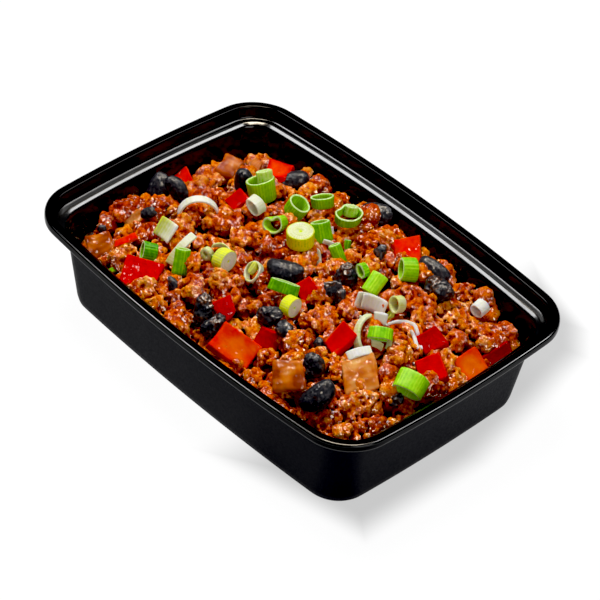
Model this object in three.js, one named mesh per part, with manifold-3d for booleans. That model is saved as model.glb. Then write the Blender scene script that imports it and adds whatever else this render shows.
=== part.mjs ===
// Chili con carne in a black rectangular meal-prep tray.
// Millimetres, +Z up, origin under the middle of the tray.  X runs along its long side and Y along its short side.
import * as THREE from "three";
import { mergeVertices } from "three/addons/utils/BufferGeometryUtils.js";
import Module from "manifold-3d";

const wasm = await Module();
wasm.setup();

// ---------------------------------------------------------------- driving dimensions
const TRAY_LENGTH = 222;
const TRAY_WIDTH = 158.6;
const TRAY_HEIGHT = 52.8;
const BOW_LONG = 6.2; // how far the long sides bulge outward at mid-length, at the rim
const BOW_SHORT = 3.2;
const BOW_BLEND = 15; // the bulge fades in over this distance from the middle line
const RIM_RADIUS = 20.4;
const CORNER_STEPS = 5;
const SIDE_STEPS = 4;

const FLOOR = 1.2; // thickness of the floor
const SKIRT = 3.6; // height of the rim's outer lip
const LEDGE_DROP = 6.6; // the lid ledge lies this far under the rim
const GAP = 0.3; // between two pieces that touch

const HEAP_CROWN = TRAY_HEIGHT - 8; // top of the smooth core, before the crumbles
const HEAP_FALL = 12; // the core is this much lower at the middle of a wall
const HEAP_HALF_X = 97;
const HEAP_HALF_Y = 65;
const HEAP_SQUARENESS = 3.2;
const CORE_INSETS = [6, 13, 21, 31, 43, 57, 70]; // the core's rings, from the rim's edge inward
const CORE_BOTTOM = -4; // the core and the toppings are cut to the room inside the tray
const CRUMBLE_SPACING = 17.5;
const CRUMBLE_SCATTER = 3;
const CRUMBLE_RADIUS = [7.5, 11];
const CRUMBLE_STRETCH = [[0.9, 1.2], [0.8, 1.05], [0.72, 0.95]]; // along X, Y and Z
const CRUMBLE_ROUGHNESS = 0.2;
const CRUMBLE_RISE = [-3.5, 0.5]; // of a crumble's middle over the core
const FAR_CRUMBLES = [ // lumps of meat by the right corner, beside the heap
  { at: [63.5, 58, 35], radius: 8 },
  { at: [83, 54, 31], radius: 8.5 },
];
const TOPPING_CLEARANCE = 3;
const TOPPING_SEAT = 1; // a crumble under a topping comes up to this far over the topping's middle
const MERGED_EDGE = 3.3; // shorter edges of the heap are merged before it is cut to fit
const SHORTEST_EDGE = 0.25;

// ---------------------------------------------------------------- random numbers and solids
const FLATTEST_TURN = 0.3; // cosine of the most that a facet may turn when an edge is drawn together
const SLIVER_AREA = 1e-3; // a facet smaller than this may turn as it likes

function seeded(seed) {
  let state = seed >>> 0;
  return () => {
    state = (state + 0x6d2b79f5) >>> 0;
    let t = Math.imul(state ^ (state >>> 15), 1 | state);
    t = (t + Math.imul(t ^ (t >>> 7), 61 | t)) ^ t;
    return ((t ^ (t >>> 14)) >>> 0) / 4294967296;
  };
}

const mix = (a, b, t) => a + (b - a) * t;

function solidOf(geometry, matrix = new THREE.Matrix4()) {
  const bare = geometry.clone().applyMatrix4(matrix);
  bare.deleteAttribute("normal");
  bare.deleteAttribute("uv");
  const merged = mergeVertices(bare, 1e-4);
  return new wasm.Manifold(
    new wasm.Mesh({
      numProp: 3,
      vertProperties: new Float32Array(merged.attributes.position.array),
      triVerts: new Uint32Array(merged.index.array),
    }),
  );
}

function geometryOf(solid) {
  const mesh = solid.getMesh();
  const geometry = new THREE.BufferGeometry();
  geometry.setAttribute("position", new THREE.BufferAttribute(mesh.vertProperties, 3));
  geometry.setIndex(new THREE.BufferAttribute(mesh.triVerts, 1));
  return geometry;
}

// The body with the largest volume: scraps that a cut has freed are dropped.
function largestBody(solid) {
  return solid.decompose().reduce((a, b) => (b.volume() > a.volume() ? b : a));
}

// The solid without its edges shorter than a limit.  An edge is drawn together into one of its ends where the
// surface stays one closed surface and no facet next to it turns over.
function withoutShortEdges(solid, limit) {
  const mesh = solid.getMesh();
  const at = [];
  for (let i = 0; i < mesh.numVert; i++)
    at.push(new THREE.Vector3().fromArray(mesh.vertProperties, i * mesh.numProp));
  const facets = [];
  const around = at.map(() => new Set());
  for (let i = 0; i < mesh.numTri; i++) {
    facets.push([...mesh.triVerts.subarray(i * 3, i * 3 + 3)]);
    facets[i].forEach((v) => around[v].add(i));
  }
  const neighbours = (v) => {
    const found = new Set();
    for (const f of around[v]) facets[f].forEach((w) => w !== v && found.add(w));
    return found;
  };
  const normal = ([a, b, c]) =>
    new THREE.Vector3().subVectors(b, a).cross(new THREE.Vector3().subVectors(c, a));
  const turnsOver = (from, to) =>
    [...around[from]].some((f) => {
      if (facets[f].includes(to)) return false;
      const before = normal(facets[f].map((v) => at[v]));
      const after = normal(facets[f].map((v) => at[v === from ? to : v]));
      const turned = after.dot(before) <= FLATTEST_TURN * after.length() * before.length();
      return turned && before.length() > SLIVER_AREA;
    });
  const drawTogether = (from, to) => {
    const near = neighbours(to);
    const common = [...neighbours(from)].filter((v) => near.has(v));
    if (common.length !== 2 || turnsOver(from, to)) return false;
    for (const f of [...around[from]]) {
      if (facets[f].includes(to)) {
        facets[f].forEach((v) => around[v].delete(f));
        facets[f] = null;
      } else {
        facets[f] = facets[f].map((v) => (v === from ? to : v));
        around[to].add(f);
      }
    }
    around[from].clear();
    return true;
  };
  for (let changed = true; changed; ) {
    changed = false;
    const edges = [];
    for (const facet of facets)
      facet?.forEach((v, k) => {
        const w = facet[(k + 1) % 3];
        const length = at[v].distanceTo(at[w]);
        if (v < w && length < limit) edges.push([length, v, w]);
      });
    edges.sort((a, b) => a[0] - b[0]);
    for (const [, v, w] of edges)
      if (neighbours(v).has(w) && (drawTogether(v, w) || drawTogether(w, v))) changed = true;
  }
  const geometry = new THREE.BufferGeometry().setFromPoints(at);
  geometry.setIndex(facets.filter(Boolean).flat());
  return solidOf(geometry);
}

// ---------------------------------------------------------------- tray
// One closed ring of the tray: a rounded rectangle set in from the rim's edge, whose sides bulge outward.
function trayRing(inset, radius, bow, heightAt) {
  const bowX = BOW_SHORT * bow;
  const bowY = BOW_LONG * bow;
  const halfX = TRAY_LENGTH / 2 - inset - bowX;
  const halfY = TRAY_WIDTH / 2 - inset - bowY;
  const straightX = halfX - radius;
  const straightY = halfY - radius;
  const points = [];
  const centres = [[1, 1], [-1, 1], [-1, -1], [1, -1]];
  centres.forEach(([sx, sy], k) => {
    for (let i = 0; i <= CORNER_STEPS; i++) {
      const angle = (Math.PI / 2) * (k + i / CORNER_STEPS);
      points.push([
        sx * straightX + radius * Math.cos(angle),
        sy * straightY + radius * Math.sin(angle),
      ]);
    }
    const [nx, ny] = centres[(k + 1) % 4];
    const angle = (Math.PI / 2) * (k + 1);
    const from = points[points.length - 1];
    const to = [nx * straightX + radius * Math.cos(angle), ny * straightY + radius * Math.sin(angle)];
    for (let i = 1; i < SIDE_STEPS; i++)
      points.push([mix(from[0], to[0], i / SIDE_STEPS), mix(from[1], to[1], i / SIDE_STEPS)]);
  });
  return points.map(([x, y]) => {
    const bx = x + Math.tanh(x / BOW_BLEND) * bowX * (1 - (y / halfY) ** 2);
    const by = y + Math.tanh(y / BOW_BLEND) * bowY * (1 - (x / halfX) ** 2);
    return new THREE.Vector3(bx, by, heightAt(bx, by));
  });
}

// A closed surface through rings of equal length, from a pole at the first to a pole at the last.
// The same rings in the opposite order give the same facets when the diagonals are flipped.
function loft(rings, firstPole, lastPole, flipped = false) {
  const count = rings[0].length;
  const points = [firstPole, ...rings.flat(), lastPole];
  const index = [];
  for (let i = 0; i < count; i++) {
    const j = (i + 1) % count;
    index.push(0, 1 + j, 1 + i);
    for (let k = 0; k + 1 < rings.length; k++) {
      const a = 1 + k * count;
      const b = a + count;
      if (flipped) index.push(a + i, a + j, b + i, a + j, b + j, b + i);
      else index.push(a + i, a + j, b + j, a + i, b + j, b + i);
    }
    const last = 1 + (rings.length - 1) * count;
    index.push(last + i, last + j, points.length - 1);
  }
  const geometry = new THREE.BufferGeometry().setFromPoints(points);
  geometry.setIndex(index);
  return geometry;
}

const H = TRAY_HEIGHT;
// Rows of [inset from the rim's edge, height, corner radius, share of the bulge].
const OUTER_PROFILE = [
  [19.4, 0, 11.2, 0.52],
  [17.2, 0.6, 13.0, 0.52],
  [15.6, 2.4, 14.6, 0.52],
  [14.9, 5.0, 15.0, 0.54],
  [10.1, H - 8.6, 11.4, 0.9],
  [8.9, H - 7.8, 11.6, 0.92],
  [4.9, H - 7.6, 15.5, 0.95],
  [4.1, H - 6.8, 16.3, 0.95],
  [3.4, H - 1.2, 17.0, 1],
  [1.0, H - 1.2, 19.4, 1],
  [0.9, H - SKIRT, 19.5, 1],
  [0, H - SKIRT, RIM_RADIUS, 1],
  [0, H - 1.0, RIM_RADIUS, 1],
  [0.3, H - 0.3, RIM_RADIUS - 0.3, 1],
  [1.0, H, RIM_RADIUS - 1, 1],
];
const INNER_PROFILE = [
  [3.9, H, 16.5, 1],
  [4.5, H - 0.5, 15.9, 1],
  [5.2, H - LEDGE_DROP + 0.8, 15.2, 0.96],
  [6.0, H - LEDGE_DROP, 14.4, 0.95],
  [9.3, H - LEDGE_DROP, 11.1, 0.92],
  [10.4, H - 7.3, 10.4, 0.91],
  [10.9, H - 8.6, 10.4, 0.9],
  [15.8, 5.4, 14.0, 0.54],
  [16.5, 3.2, 13.6, 0.52],
  [18.2, 1.7, 12.0, 0.52],
  [20.4, FLOOR, 10.2, 0.52],
];

const MOUTH_ROW = 5; // the inner row at the top of the wall, inside the ledge

const profileRing = ([inset, z, radius, bow]) => trayRing(inset, radius, bow, () => z);

function trayGeometry() {
  const rings = [...OUTER_PROFILE, ...INNER_PROFILE].map(profileRing);
  return loft(rings, new THREE.Vector3(0, 0, 0), new THREE.Vector3(0, 0, FLOOR));
}

// ---------------------------------------------------------------- heap
// Height of the smooth core: flat in the middle, falling to the walls and lowest in the corners.
function reach(x, y) {
  const sum = Math.abs(x / HEAP_HALF_X) ** HEAP_SQUARENESS + Math.abs(y / HEAP_HALF_Y) ** HEAP_SQUARENESS;
  return sum ** (1 / HEAP_SQUARENESS);
}

function coreHeight(x, y) {
  return HEAP_CROWN - HEAP_FALL * reach(x, y) ** 4;
}

function heapCore() {
  const ringAt = (inset, heightAt) => trayRing(inset, Math.max(6, 18 - inset * 0.4), 0.9, heightAt);
  const foot = ringAt(CORE_INSETS[0], () => CORE_BOTTOM);
  const rings = [foot, ...CORE_INSETS.map((inset) => ringAt(inset, coreHeight))];
  const lowest = new THREE.Vector3(0, 0, CORE_BOTTOM);
  const highest = new THREE.Vector3(0, 0, coreHeight(0, 0));
  return solidOf(loft(rings, lowest, highest));
}

// The room inside the tray under its ledge, a gap away from the walls and open at the top.
function cavity() {
  const inward = ([inset, z, radius, bow]) => profileRing([inset + GAP, z, radius, bow]);
  const rows = INNER_PROFILE.slice(MOUTH_ROW).reverse();
  const [inset, , radius, bow] = INNER_PROFILE[MOUTH_ROW];
  const low = FLOOR + GAP;
  const high = 1.5 * H;
  const bottom = inward(rows[0]).map((p) => p.setZ(low));
  const rings = [bottom, ...rows.slice(1).map(inward), inward([inset, high, radius, bow])];
  return solidOf(loft(rings, new THREE.Vector3(0, 0, low), new THREE.Vector3(0, 0, high), true));
}

// A crumble of minced meat: a ball of few sides with uneven knobs.
function crumbleGeometry(radius, random) {
  const ball = new THREE.IcosahedronGeometry(1, 1);
  ball.deleteAttribute("normal");
  ball.deleteAttribute("uv");
  const geometry = mergeVertices(ball, 1e-4);
  const at = geometry.attributes.position;
  const stretch = new THREE.Vector3(...CRUMBLE_STRETCH.map(([least, most]) => mix(least, most, random())));
  for (let i = 0; i < at.count; i++) {
    const knob = radius * (1 + CRUMBLE_ROUGHNESS * (random() * 2 - 1));
    const p = new THREE.Vector3().fromBufferAttribute(at, i).multiplyScalar(knob).multiply(stretch);
    at.setXYZ(i, p.x, p.y, p.z);
  }
  return geometry;
}

// Crumbles under or beside a topping are sunk, so that the topping lies on them and shows.
function sunkUnder(toppings, x, y, z, radius) {
  const tops = toppings
    .filter(({ at }) => Math.hypot(at[0] - x, at[1] - y) < radius + TOPPING_CLEARANCE)
    .map(({ at }) => at[2] + TOPPING_SEAT - 0.8 * radius);
  return Math.min(z, ...tops);
}

function heapCrumbles(toppings) {
  const random = seeded(7);
  const solids = [];
  const rowStep = (CRUMBLE_SPACING * Math.sqrt(3)) / 2;
  const rows = Math.ceil(HEAP_HALF_Y / rowStep);
  const columns = Math.ceil(HEAP_HALF_X / CRUMBLE_SPACING);
  for (let j = -rows; j <= rows; j++)
    for (let i = -columns; i <= columns; i++) {
      const x = (i + (j % 2 ? 0.5 : 0)) * CRUMBLE_SPACING + CRUMBLE_SCATTER * (random() * 2 - 1);
      const y = j * rowStep + CRUMBLE_SCATTER * (random() * 2 - 1);
      const radius = mix(...CRUMBLE_RADIUS, random());
      const turn = random() * Math.PI * 2;
      const geometry = crumbleGeometry(radius, random);
      if (reach(x, y) > 1) continue;
      const free = coreHeight(x, y) + mix(...CRUMBLE_RISE, random());
      const z = sunkUnder(toppings, x, y, free, radius);
      const place = new THREE.Matrix4().makeRotationZ(turn).setPosition(x, y, z);
      solids.push(solidOf(geometry, place));
    }
  for (const { at, radius } of FAR_CRUMBLES)
    solids.push(solidOf(crumbleGeometry(radius, random), new THREE.Matrix4().setPosition(...at)));
  return solids;
}

function heapSolid(toppings) {
  let heap = heapCore();
  for (const crumble of heapCrumbles(toppings)) heap = heap.add(crumble);
  heap = withoutShortEdges(largestBody(heap), MERGED_EDGE);
  heap = heap.intersect(cavity());
  for (const topping of toppings) heap = heap.subtract(topping.grown);
  return withoutShortEdges(largestBody(heap), SHORTEST_EDGE);
}

// ---------------------------------------------------------------- toppings
// A topping's own X axis is the way its outline is drawn out: along a tube, or across a strip.  The outline lies
// in its Y and Z.  `turn` is [heading, dip, roll] in degrees and `at` is the middle of the piece.
const RING_SIDES = 16;
const BAND_STEPS = 6;
const BEAN_SIDES = [11, 7];
// The grown copies that cut the neighbours have fewer sides, so they are also a little wider.
const CUTTER_RING_SIDES = 8;
const CUTTER_BAND_STEPS = 3;
const CUTTER_BEAN_SIDES = [8, 5];
const CUTTER_SWELL = 1.09;
const FOLD_SIDES = 22; // of an oval with a folded side
const FOLD_WIDTH = 0.5; // radians

function drawnOut(outline, hole, length) {
  const shape = new THREE.Shape(outline);
  if (hole) shape.holes.push(new THREE.Path(hole));
  const geometry = new THREE.ExtrudeGeometry(shape, { depth: length, bevelEnabled: false });
  geometry.translate(0, 0, -length / 2);
  return geometry.applyMatrix4(new THREE.Matrix4().set(0, 0, 1, 0, 1, 0, 0, 0, 0, 1, 0, 0, 0, 0, 0, 1));
}

// An oval outline whose side at +Z is folded in by a share of its radius.
function ovalOutline(wide, narrow, fold, sides = fold ? FOLD_SIDES : RING_SIDES) {
  return Array.from({ length: sides }, (_, i) => {
    const angle = (i / sides) * Math.PI * 2;
    const fromFold = Math.atan2(Math.cos(angle), Math.sin(angle));
    const radius = 1 - fold * Math.exp(-((fromFold / FOLD_WIDTH) ** 2));
    return new THREE.Vector2(Math.cos(angle) * wide, Math.sin(angle) * narrow).multiplyScalar(radius / 2);
  });
}

// A slice of spring onion: a tube with a wall, or a solid disc where the wall is 0.  A slice may hold a solid
// inner stalk, which stands out at one end and leans on the tube's wall: `lean` is its place, 1 being the wall.
function ringSolid({ wide, narrow, length, wall = 1, fold = 0, stalk = 0, lean = [1, 0] }, grow = 0) {
  const swollen = (size) => (size + 2 * grow) * CUTTER_SWELL;
  const oval = (across, high) =>
    grow
      ? ovalOutline(swollen(across), swollen(high), 0, CUTTER_RING_SIDES)
      : ovalOutline(across, high, fold);
  const hole = wall && !grow ? ovalOutline(wide - 2 * wall, narrow - 2 * wall, fold) : null;
  const tube = solidOf(drawnOut(oval(wide, narrow), hole, length + 2 * grow));
  if (!stalk) return tube;
  const aside = lean[0] * (wide / 2 - wall - stalk * 0.45);
  const above = lean[1] * (narrow / 2 - wall - stalk * 0.36);
  const beside = new THREE.Matrix4().makeTranslation(length * 0.4, aside, above);
  return tube.add(solidOf(drawnOut(oval(stalk, stalk * 0.8), null, length + 2 * grow), beside));
}

// A curved slab, such as a strip of leaf or a square of pepper wall.  `span` is the angle of its curve.
function bandSolid({ chord, length, thick, span, taper = 0, skew = 0 }, grow = 0) {
  const half = THREE.MathUtils.degToRad(span) / 2;
  const radius = chord / 2 / Math.sin(Math.min(half, Math.PI / 2));
  const reachAngle = half + grow / radius;
  const rise = (radius + thick / 2 + (radius - thick / 2) * Math.cos(half)) / 2;
  const steps = grow ? CUTTER_BAND_STEPS : BAND_STEPS;
  const outward = grow ? grow + radius * (1 / Math.cos(half / steps) - 1) : 0;
  const along = (side) =>
    Array.from({ length: steps + 1 }, (_, i) => {
      const angle = mix(-reachAngle, reachAngle, i / steps) * side;
      const r = radius + side * (thick / 2) + (side > 0 ? outward : -grow);
      return new THREE.Vector2(-r * Math.sin(angle), r * Math.cos(angle) - rise);
    });
  const geometry = drawnOut([...along(1), ...along(-1)], null, length + 2 * grow);
  const at = geometry.attributes.position;
  for (let i = 0; i < at.count; i++) {
    const share = at.getX(i) / length;
    at.setY(i, at.getY(i) * (1 + taper * share) + skew * share);
  }
  return solidOf(geometry);
}

// A kidney bean: an ellipsoid whose middle is pushed to one side.
function beanSolid({ long, wide, thick, bend = 0.12 }, grow = 0) {
  const swell = grow ? CUTTER_SWELL : 1;
  const geometry = new THREE.SphereGeometry(swell, ...(grow ? CUTTER_BEAN_SIDES : BEAN_SIDES));
  const at = geometry.attributes.position;
  for (let i = 0; i < at.count; i++) {
    const [x, y, z] = [at.getX(i), at.getY(i), at.getZ(i)];
    const end = Math.sign(y) * Math.abs(y) ** 0.85;
    const aside = bend * wide * (y * y - 0.4);
    at.setXYZ(i, end * (long / 2 + grow), aside - x * (wide / 2 + grow), z * (thick / 2 + grow));
  }
  return solidOf(geometry);
}

const STRIP_THICKNESS = 1.1;
const PEPPER_THICKNESS = 5;
const ONION_THICKNESS = 4;

const GREEN = new THREE.MeshStandardMaterial({ color: 0x4f9a1c, roughness: 0.4, metalness: 0 });
const WHITE = new THREE.MeshStandardMaterial({ color: 0xe4e6c8, roughness: 0.4, metalness: 0 });
const BEAN = new THREE.MeshStandardMaterial({ color: 0x17151a, roughness: 0.25, metalness: 0 });
const PEPPER = new THREE.MeshStandardMaterial({ color: 0xd02408, roughness: 0.3, metalness: 0 });
const ONION = new THREE.MeshStandardMaterial({ color: 0xc9782f, roughness: 0.3, metalness: 0 });

const topping = (make, material, usual) => (size, at, turn) => ({
  make,
  material,
  size: { ...usual, ...size },
  at,
  turn,
});
const ring = topping(ringSolid, GREEN, {});
const paleRing = topping(ringSolid, WHITE, {});
const disc = topping(ringSolid, WHITE, { wall: 0 });
const strip = topping(bandSolid, WHITE, { thick: STRIP_THICKNESS });
const bean = topping(beanSolid, BEAN, {});
const pepper = topping(bandSolid, PEPPER, { thick: PEPPER_THICKNESS, span: 30, taper: 0.12 });
const onion = topping(bandSolid, ONION, { thick: ONION_THICKNESS, span: 50, taper: -0.15 });

const SPRING_ONION_GREENS = [
  ring({ wide: 13.5, narrow: 10, length: 11, stalk: 7 }, [-53, 25, 49], [-170, -75, 130]),
  ring({ wide: 10.5, narrow: 9.5, length: 8 }, [-31.5, 28, 50], [15, -65, -90]),
  ring({ wide: 11, narrow: 7, length: 5.5 }, [-29, 43, 48], [175, -75, 145]),
  ring({ wide: 13.5, narrow: 11.5, length: 6, fold: 0.3, stalk: 6, lean: [-0.35, -1] }, [-11, 42, 50.5], [-35, -75, 165]),
  ring({ wide: 9.5, narrow: 6, length: 10 }, [-13, 27, 48], [170, -65, 150]),
  ring({ wide: 11, narrow: 11, length: 6.5, fold: 0.5 }, [-30, 13, 50], [-80, -25, 30]),
  ring({ wide: 8.5, narrow: 6, length: 7 }, [-57, -42, 42], [-120, -20, 125]),
  ring({ wide: 7.5, narrow: 4, length: 12.5 }, [-39, -38, 46], [125, -65, -175]),
  ring({ wide: 14, narrow: 5.5, length: 5.5, fold: 0.4 }, [8, -17, 51], [105, -60, 25]),
  ring({ wide: 6, narrow: 3.6, length: 11 }, [2, 24, 45], [-175, -55, 140]),
  ring({ wide: 7, narrow: 5, length: 4.5 }, [21, 21, 50], [-85, -15, 135]),
  ring({ wide: 8, narrow: 5.5, length: 10.5 }, [29, 21, 47], [-80, 30, 155]),
  ring({ wide: 11, narrow: 6.5, length: 8 }, [33, 39, 49], [-115, -15, 130]),
  ring({ wide: 11, narrow: 6, length: 5.5 }, [60, -6, 53], [-50, 30, -5]),
  ring({ wide: 14.5, narrow: 9, length: 9.5 }, [87, -13, 46], [-70, 20, -15]),
];

const SPRING_ONION_WHITES = [
  disc({ wide: 13.5, narrow: 12.5, length: 7.5 }, [-13, 13, 52], [-100, -85, 55]),
  disc({ wide: 11, narrow: 9, length: 6.5 }, [-26, -23, 48], [0, -15, -135]),
  disc({ wide: 10, narrow: 7.5, length: 6 }, [17, -21, 48], [0, -15, -135]),
];

const SPRING_ONION_PALES = [
  paleRing({ wide: 9.5, narrow: 6.5, length: 5.5 }, [-43, 12, 52], [-80, 0, 145]),
  paleRing({ wide: 10, narrow: 8.5, length: 4, stalk: 5.5 }, [-10, -19, 49], [-95, -45, 100]),
  paleRing({ wide: 8, narrow: 7, length: 5 }, [48, 17, 50], [-95, -20, 130]),
  paleRing({ wide: 7.5, narrow: 6.5, length: 6 }, [67, 53, 41], [-80, 0, 145]),
];

const SPRING_ONION_STRIPS = [
  strip({ chord: 17.5, length: 5, span: 190 }, [-61, -9, 50], [-40, -5, 10]),
  strip({ chord: 8.5, length: 9.5, span: 110 }, [-59, -30, 48], [90, -50, -170]),
  strip({ chord: 17.5, length: 4.5, span: 50 }, [-46, -32, 46], [0, 5, 40]),
  strip({ chord: 12, length: 8, span: 80, thick: 3 }, [38, 10, 47], [100, -65, -155]),
  strip({ chord: 16.5, length: 4, span: 130, thick: 1.6 }, [51, -9, 50], [5, -40, 40]),
  strip({ chord: 10.5, length: 4.5, span: 70 }, [60, -19, 49], [-25, 20, 15]),
];

const BLACK_BEANS = [
  bean({ long: 19, wide: 12, thick: 9.5 }, [-94, -5, 36], [100, -55, 25]),
  bean({ long: 14.5, wide: 8.5, thick: 7 }, [-83, -2, 43], [-165, -45, -40]),
  bean({ long: 13, wide: 9, thick: 8 }, [-67, 26, 45], [-10, -85, 140]),
  bean({ long: 14.5, wide: 10.5, thick: 8.5 }, [-55, 49, 41], [45, -20, 50]),
  bean({ long: 15.5, wide: 11, thick: 8 }, [-12, 64, 41], [30, 0, 50]),
  bean({ long: 17, wide: 11.5, thick: 10, bend: 0.2 }, [-1, -8, 50], [25, -5, 50]),
  bean({ long: 16, wide: 9.5, thick: 8 }, [36, 54, 43], [15, 15, 45]),
  bean({ long: 14, wide: 11, thick: 9 }, [49, 43, 46], [10, 5, 45]),
  bean({ long: 14.5, wide: 8, thick: 7.5 }, [-7, -53, 46], [125, -60, 5]),
  bean({ long: 12.5, wide: 8.5, thick: 7 }, [3, -55, 45], [65, -35, 45]),
  bean({ long: 11, wide: 9, thick: 7 }, [15, -32, 47], [40, -10, 50]),
  bean({ long: 11.5, wide: 10, thick: 8 }, [52, -40, 47], [120, -70, 10]),
  bean({ long: 17.5, wide: 11, thick: 9 }, [66, -50, 45], [65, -40, 45]),
  bean({ long: 12, wide: 10, thick: 8 }, [16, 15, 46], [80, -60, 40]),
];

const RED_PEPPERS = [
  pepper({ length: 12.5, chord: 10 }, [-96, 12, 33], [-10, 20, 10]),
  pepper({ length: 11.5, chord: 9 }, [-63, 46, 43], [30, 0, 20]),
  pepper({ length: 17, chord: 14 }, [-50, -53, 38], [35, 5, 20]),
  pepper({ length: 20, chord: 12.5 }, [17, -55, 42], [25, 25, 30]),
  pepper({ length: 11.5, chord: 6 }, [23, -41, 42], [105, -55, 180]),
  pepper({ length: 13.5, chord: 8 }, [47, -18, 47], [80, -35, 20]),
  pepper({ length: 16, chord: 12.5 }, [15, 55.5, 38.5], [45, -10, 20]),
  pepper({ length: 11.5, chord: 9 }, [69, 19, 41], [70, -25, 25]),
  pepper({ length: 12.5, chord: 11.5 }, [83.5, 4.5, 41.5], [55, -25, 25]),
  pepper({ length: 13, chord: 12 }, [90, 24.5, 37], [70, -35, 20]),
  pepper({ length: 15.5, chord: 11.5 }, [92, 41.5, 31], [60, -35, 30]),
  pepper({ length: 9.5, chord: 6.5 }, [-58, 15, 44], [75, -35, 20]),
];

const ONIONS = [
  onion({ length: 15.5, chord: 14 }, [67, -24.5, 44], [55, -15, 20]),
  onion({ length: 14, chord: 11.5 }, [50, -53, 47], [45, -10, 25]),
  onion({ length: 12.5, chord: 11.5 }, [-82, -50, 32], [55, -25, 25]),
  onion({ length: 10, chord: 9.5 }, [-84, 33, 39.5], [25, 15, 20]),
];

const TOPPINGS = {
  spring_onion_white: SPRING_ONION_WHITES,
  spring_onion_green: SPRING_ONION_GREENS,
  spring_onion_pale: SPRING_ONION_PALES,
  spring_onion_strip: SPRING_ONION_STRIPS,
  black_bean: BLACK_BEANS,
  red_pepper: RED_PEPPERS,
  onion: ONIONS,
};

function placed({ make, size, at, turn }, grow = 0) {
  const [heading, dip, roll] = turn.map(THREE.MathUtils.degToRad);
  const matrix = new THREE.Matrix4().makeRotationFromEuler(new THREE.Euler(roll, dip, heading, "ZYX"));
  matrix.setPosition(...at);
  return make(size, grow).transform(matrix.elements);
}

const numbered = (name, index) => name + "_" + String(index + 1).padStart(2, "0");

// Each topping in turn is cut clear of the tray and of the ones before it.
function fitToppings() {
  const room = cavity();
  const fitted = [];
  for (const [kind, rows] of Object.entries(TOPPINGS))
    rows.forEach((row, index) => {
      let solid = placed(row).intersect(room);
      for (const other of fitted) solid = solid.subtract(other.grown);
      const grown = placed(row, GAP);
      solid = withoutShortEdges(largestBody(solid), SHORTEST_EDGE);
      fitted.push({ name: numbered(kind, index), solid, grown, at: row.at, material: row.material });
    });
  return fitted;
}

// ---------------------------------------------------------------- assembly
const PLASTIC = new THREE.MeshStandardMaterial({ color: 0x101114, roughness: 0.35, metalness: 0 });
const MEAT = new THREE.MeshStandardMaterial({ color: 0x9c3f16, roughness: 0.45, metalness: 0 });

const meal = new THREE.Group();
function addNode(name, geometry, material) {
  const mesh = new THREE.Mesh(geometry, material);
  mesh.name = name;
  meal.add(mesh);
}

const toppings = fitToppings();
addNode("tray", trayGeometry(), PLASTIC);
addNode("chili_heap", geometryOf(heapSolid(toppings)), MEAT);
for (const { name, solid, material } of toppings) addNode(name, geometryOf(solid), material);

export default meal;
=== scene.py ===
"""Chili con carne in a black meal-prep tray: the looks.

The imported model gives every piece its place.  The tray is lofted anew with finer curves, the minced meat is
grown over the heap as granules, and each topping is modelled anew where its own solid lies.  Lengths are
millimetres until a mesh is made, which is in metres.
"""

import itertools
import math

import bpy
import numpy as np
import openvdb
from mathutils import Matrix, Vector, kdtree
from mathutils.bvhtree import BVHTree


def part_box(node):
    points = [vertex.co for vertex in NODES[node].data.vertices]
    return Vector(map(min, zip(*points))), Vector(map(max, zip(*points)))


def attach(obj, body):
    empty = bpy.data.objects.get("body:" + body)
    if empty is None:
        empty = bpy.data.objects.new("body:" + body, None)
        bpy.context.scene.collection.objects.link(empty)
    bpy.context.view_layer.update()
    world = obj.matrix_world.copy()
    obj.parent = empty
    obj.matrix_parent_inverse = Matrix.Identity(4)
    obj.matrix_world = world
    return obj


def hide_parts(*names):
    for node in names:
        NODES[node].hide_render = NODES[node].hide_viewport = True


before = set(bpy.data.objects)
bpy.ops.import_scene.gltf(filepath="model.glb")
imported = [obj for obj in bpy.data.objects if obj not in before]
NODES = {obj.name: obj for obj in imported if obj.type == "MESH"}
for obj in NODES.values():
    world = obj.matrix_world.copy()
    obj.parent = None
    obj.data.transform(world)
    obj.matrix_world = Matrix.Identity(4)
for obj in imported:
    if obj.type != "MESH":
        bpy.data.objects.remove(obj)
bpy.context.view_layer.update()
MM = 0.001

# ---------------- camera and light, in degrees and millimetres
CAMERA_AZIMUTH = 43.07
CAMERA_ELEVATION = 40.86
CAMERA_ROLL = 5.82
CAMERA_DISTANCE = 1215.94
CAMERA_TARGET = (-1.57, 4.79, 25.0)
CAMERA_FOCUS = 2587.94  # focal length in pixels of a picture 600 wide
PICTURE = 600
SENSOR = 36.0
BLACK = 0.011  # what is darker than this prints black, as in the photo
WHITE = (1.0, 1.0, 1.0)
CREAM = (1.0, 0.87, 0.68)
SKY = (0.95, 0.97, 1.0)
SKY_STRENGTH = 0.16
LIGHTS_AIM = Vector((0, 0, 0.03))  # metres
# The floor's painted shadow ends softly at these edges: outward direction, and where the fading starts and
# ends.
PAINTED_SHADOW_EDGES = [
    ((1.0, 0.0), 100, 118), ((0.979, 0.203), 100, 119), ((0.74, 0.672), 128, 146),
    ((0.3, 0.954), 130, 143), ((0.2, -0.98), 70, 87), ((-1.0, 0.0), -60, -20),
]
FLOOR_SIZE = 4000.0  # half the floor's side

# ---------------- tray
TRAY_LENGTH, TRAY_WIDTH, TRAY_HEIGHT = ((high - low) / MM for low, high in zip(*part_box("tray")))
BOW_LONG = 6.2  # how far a long side bulges, and a short one
BOW_SHORT = 3.2
BOW_BLEND = 15.0
RIM_RADIUS = 20.4
FLOOR = 1.2
SKIRT = 3.6
LEDGE_DROP = 6.6
CORNER_STEPS = 12
SIDE_STEPS = 16
SUPPORT = 0.45  # extra rows this near to an edge keep it crisp when the surface is subdivided

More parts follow.
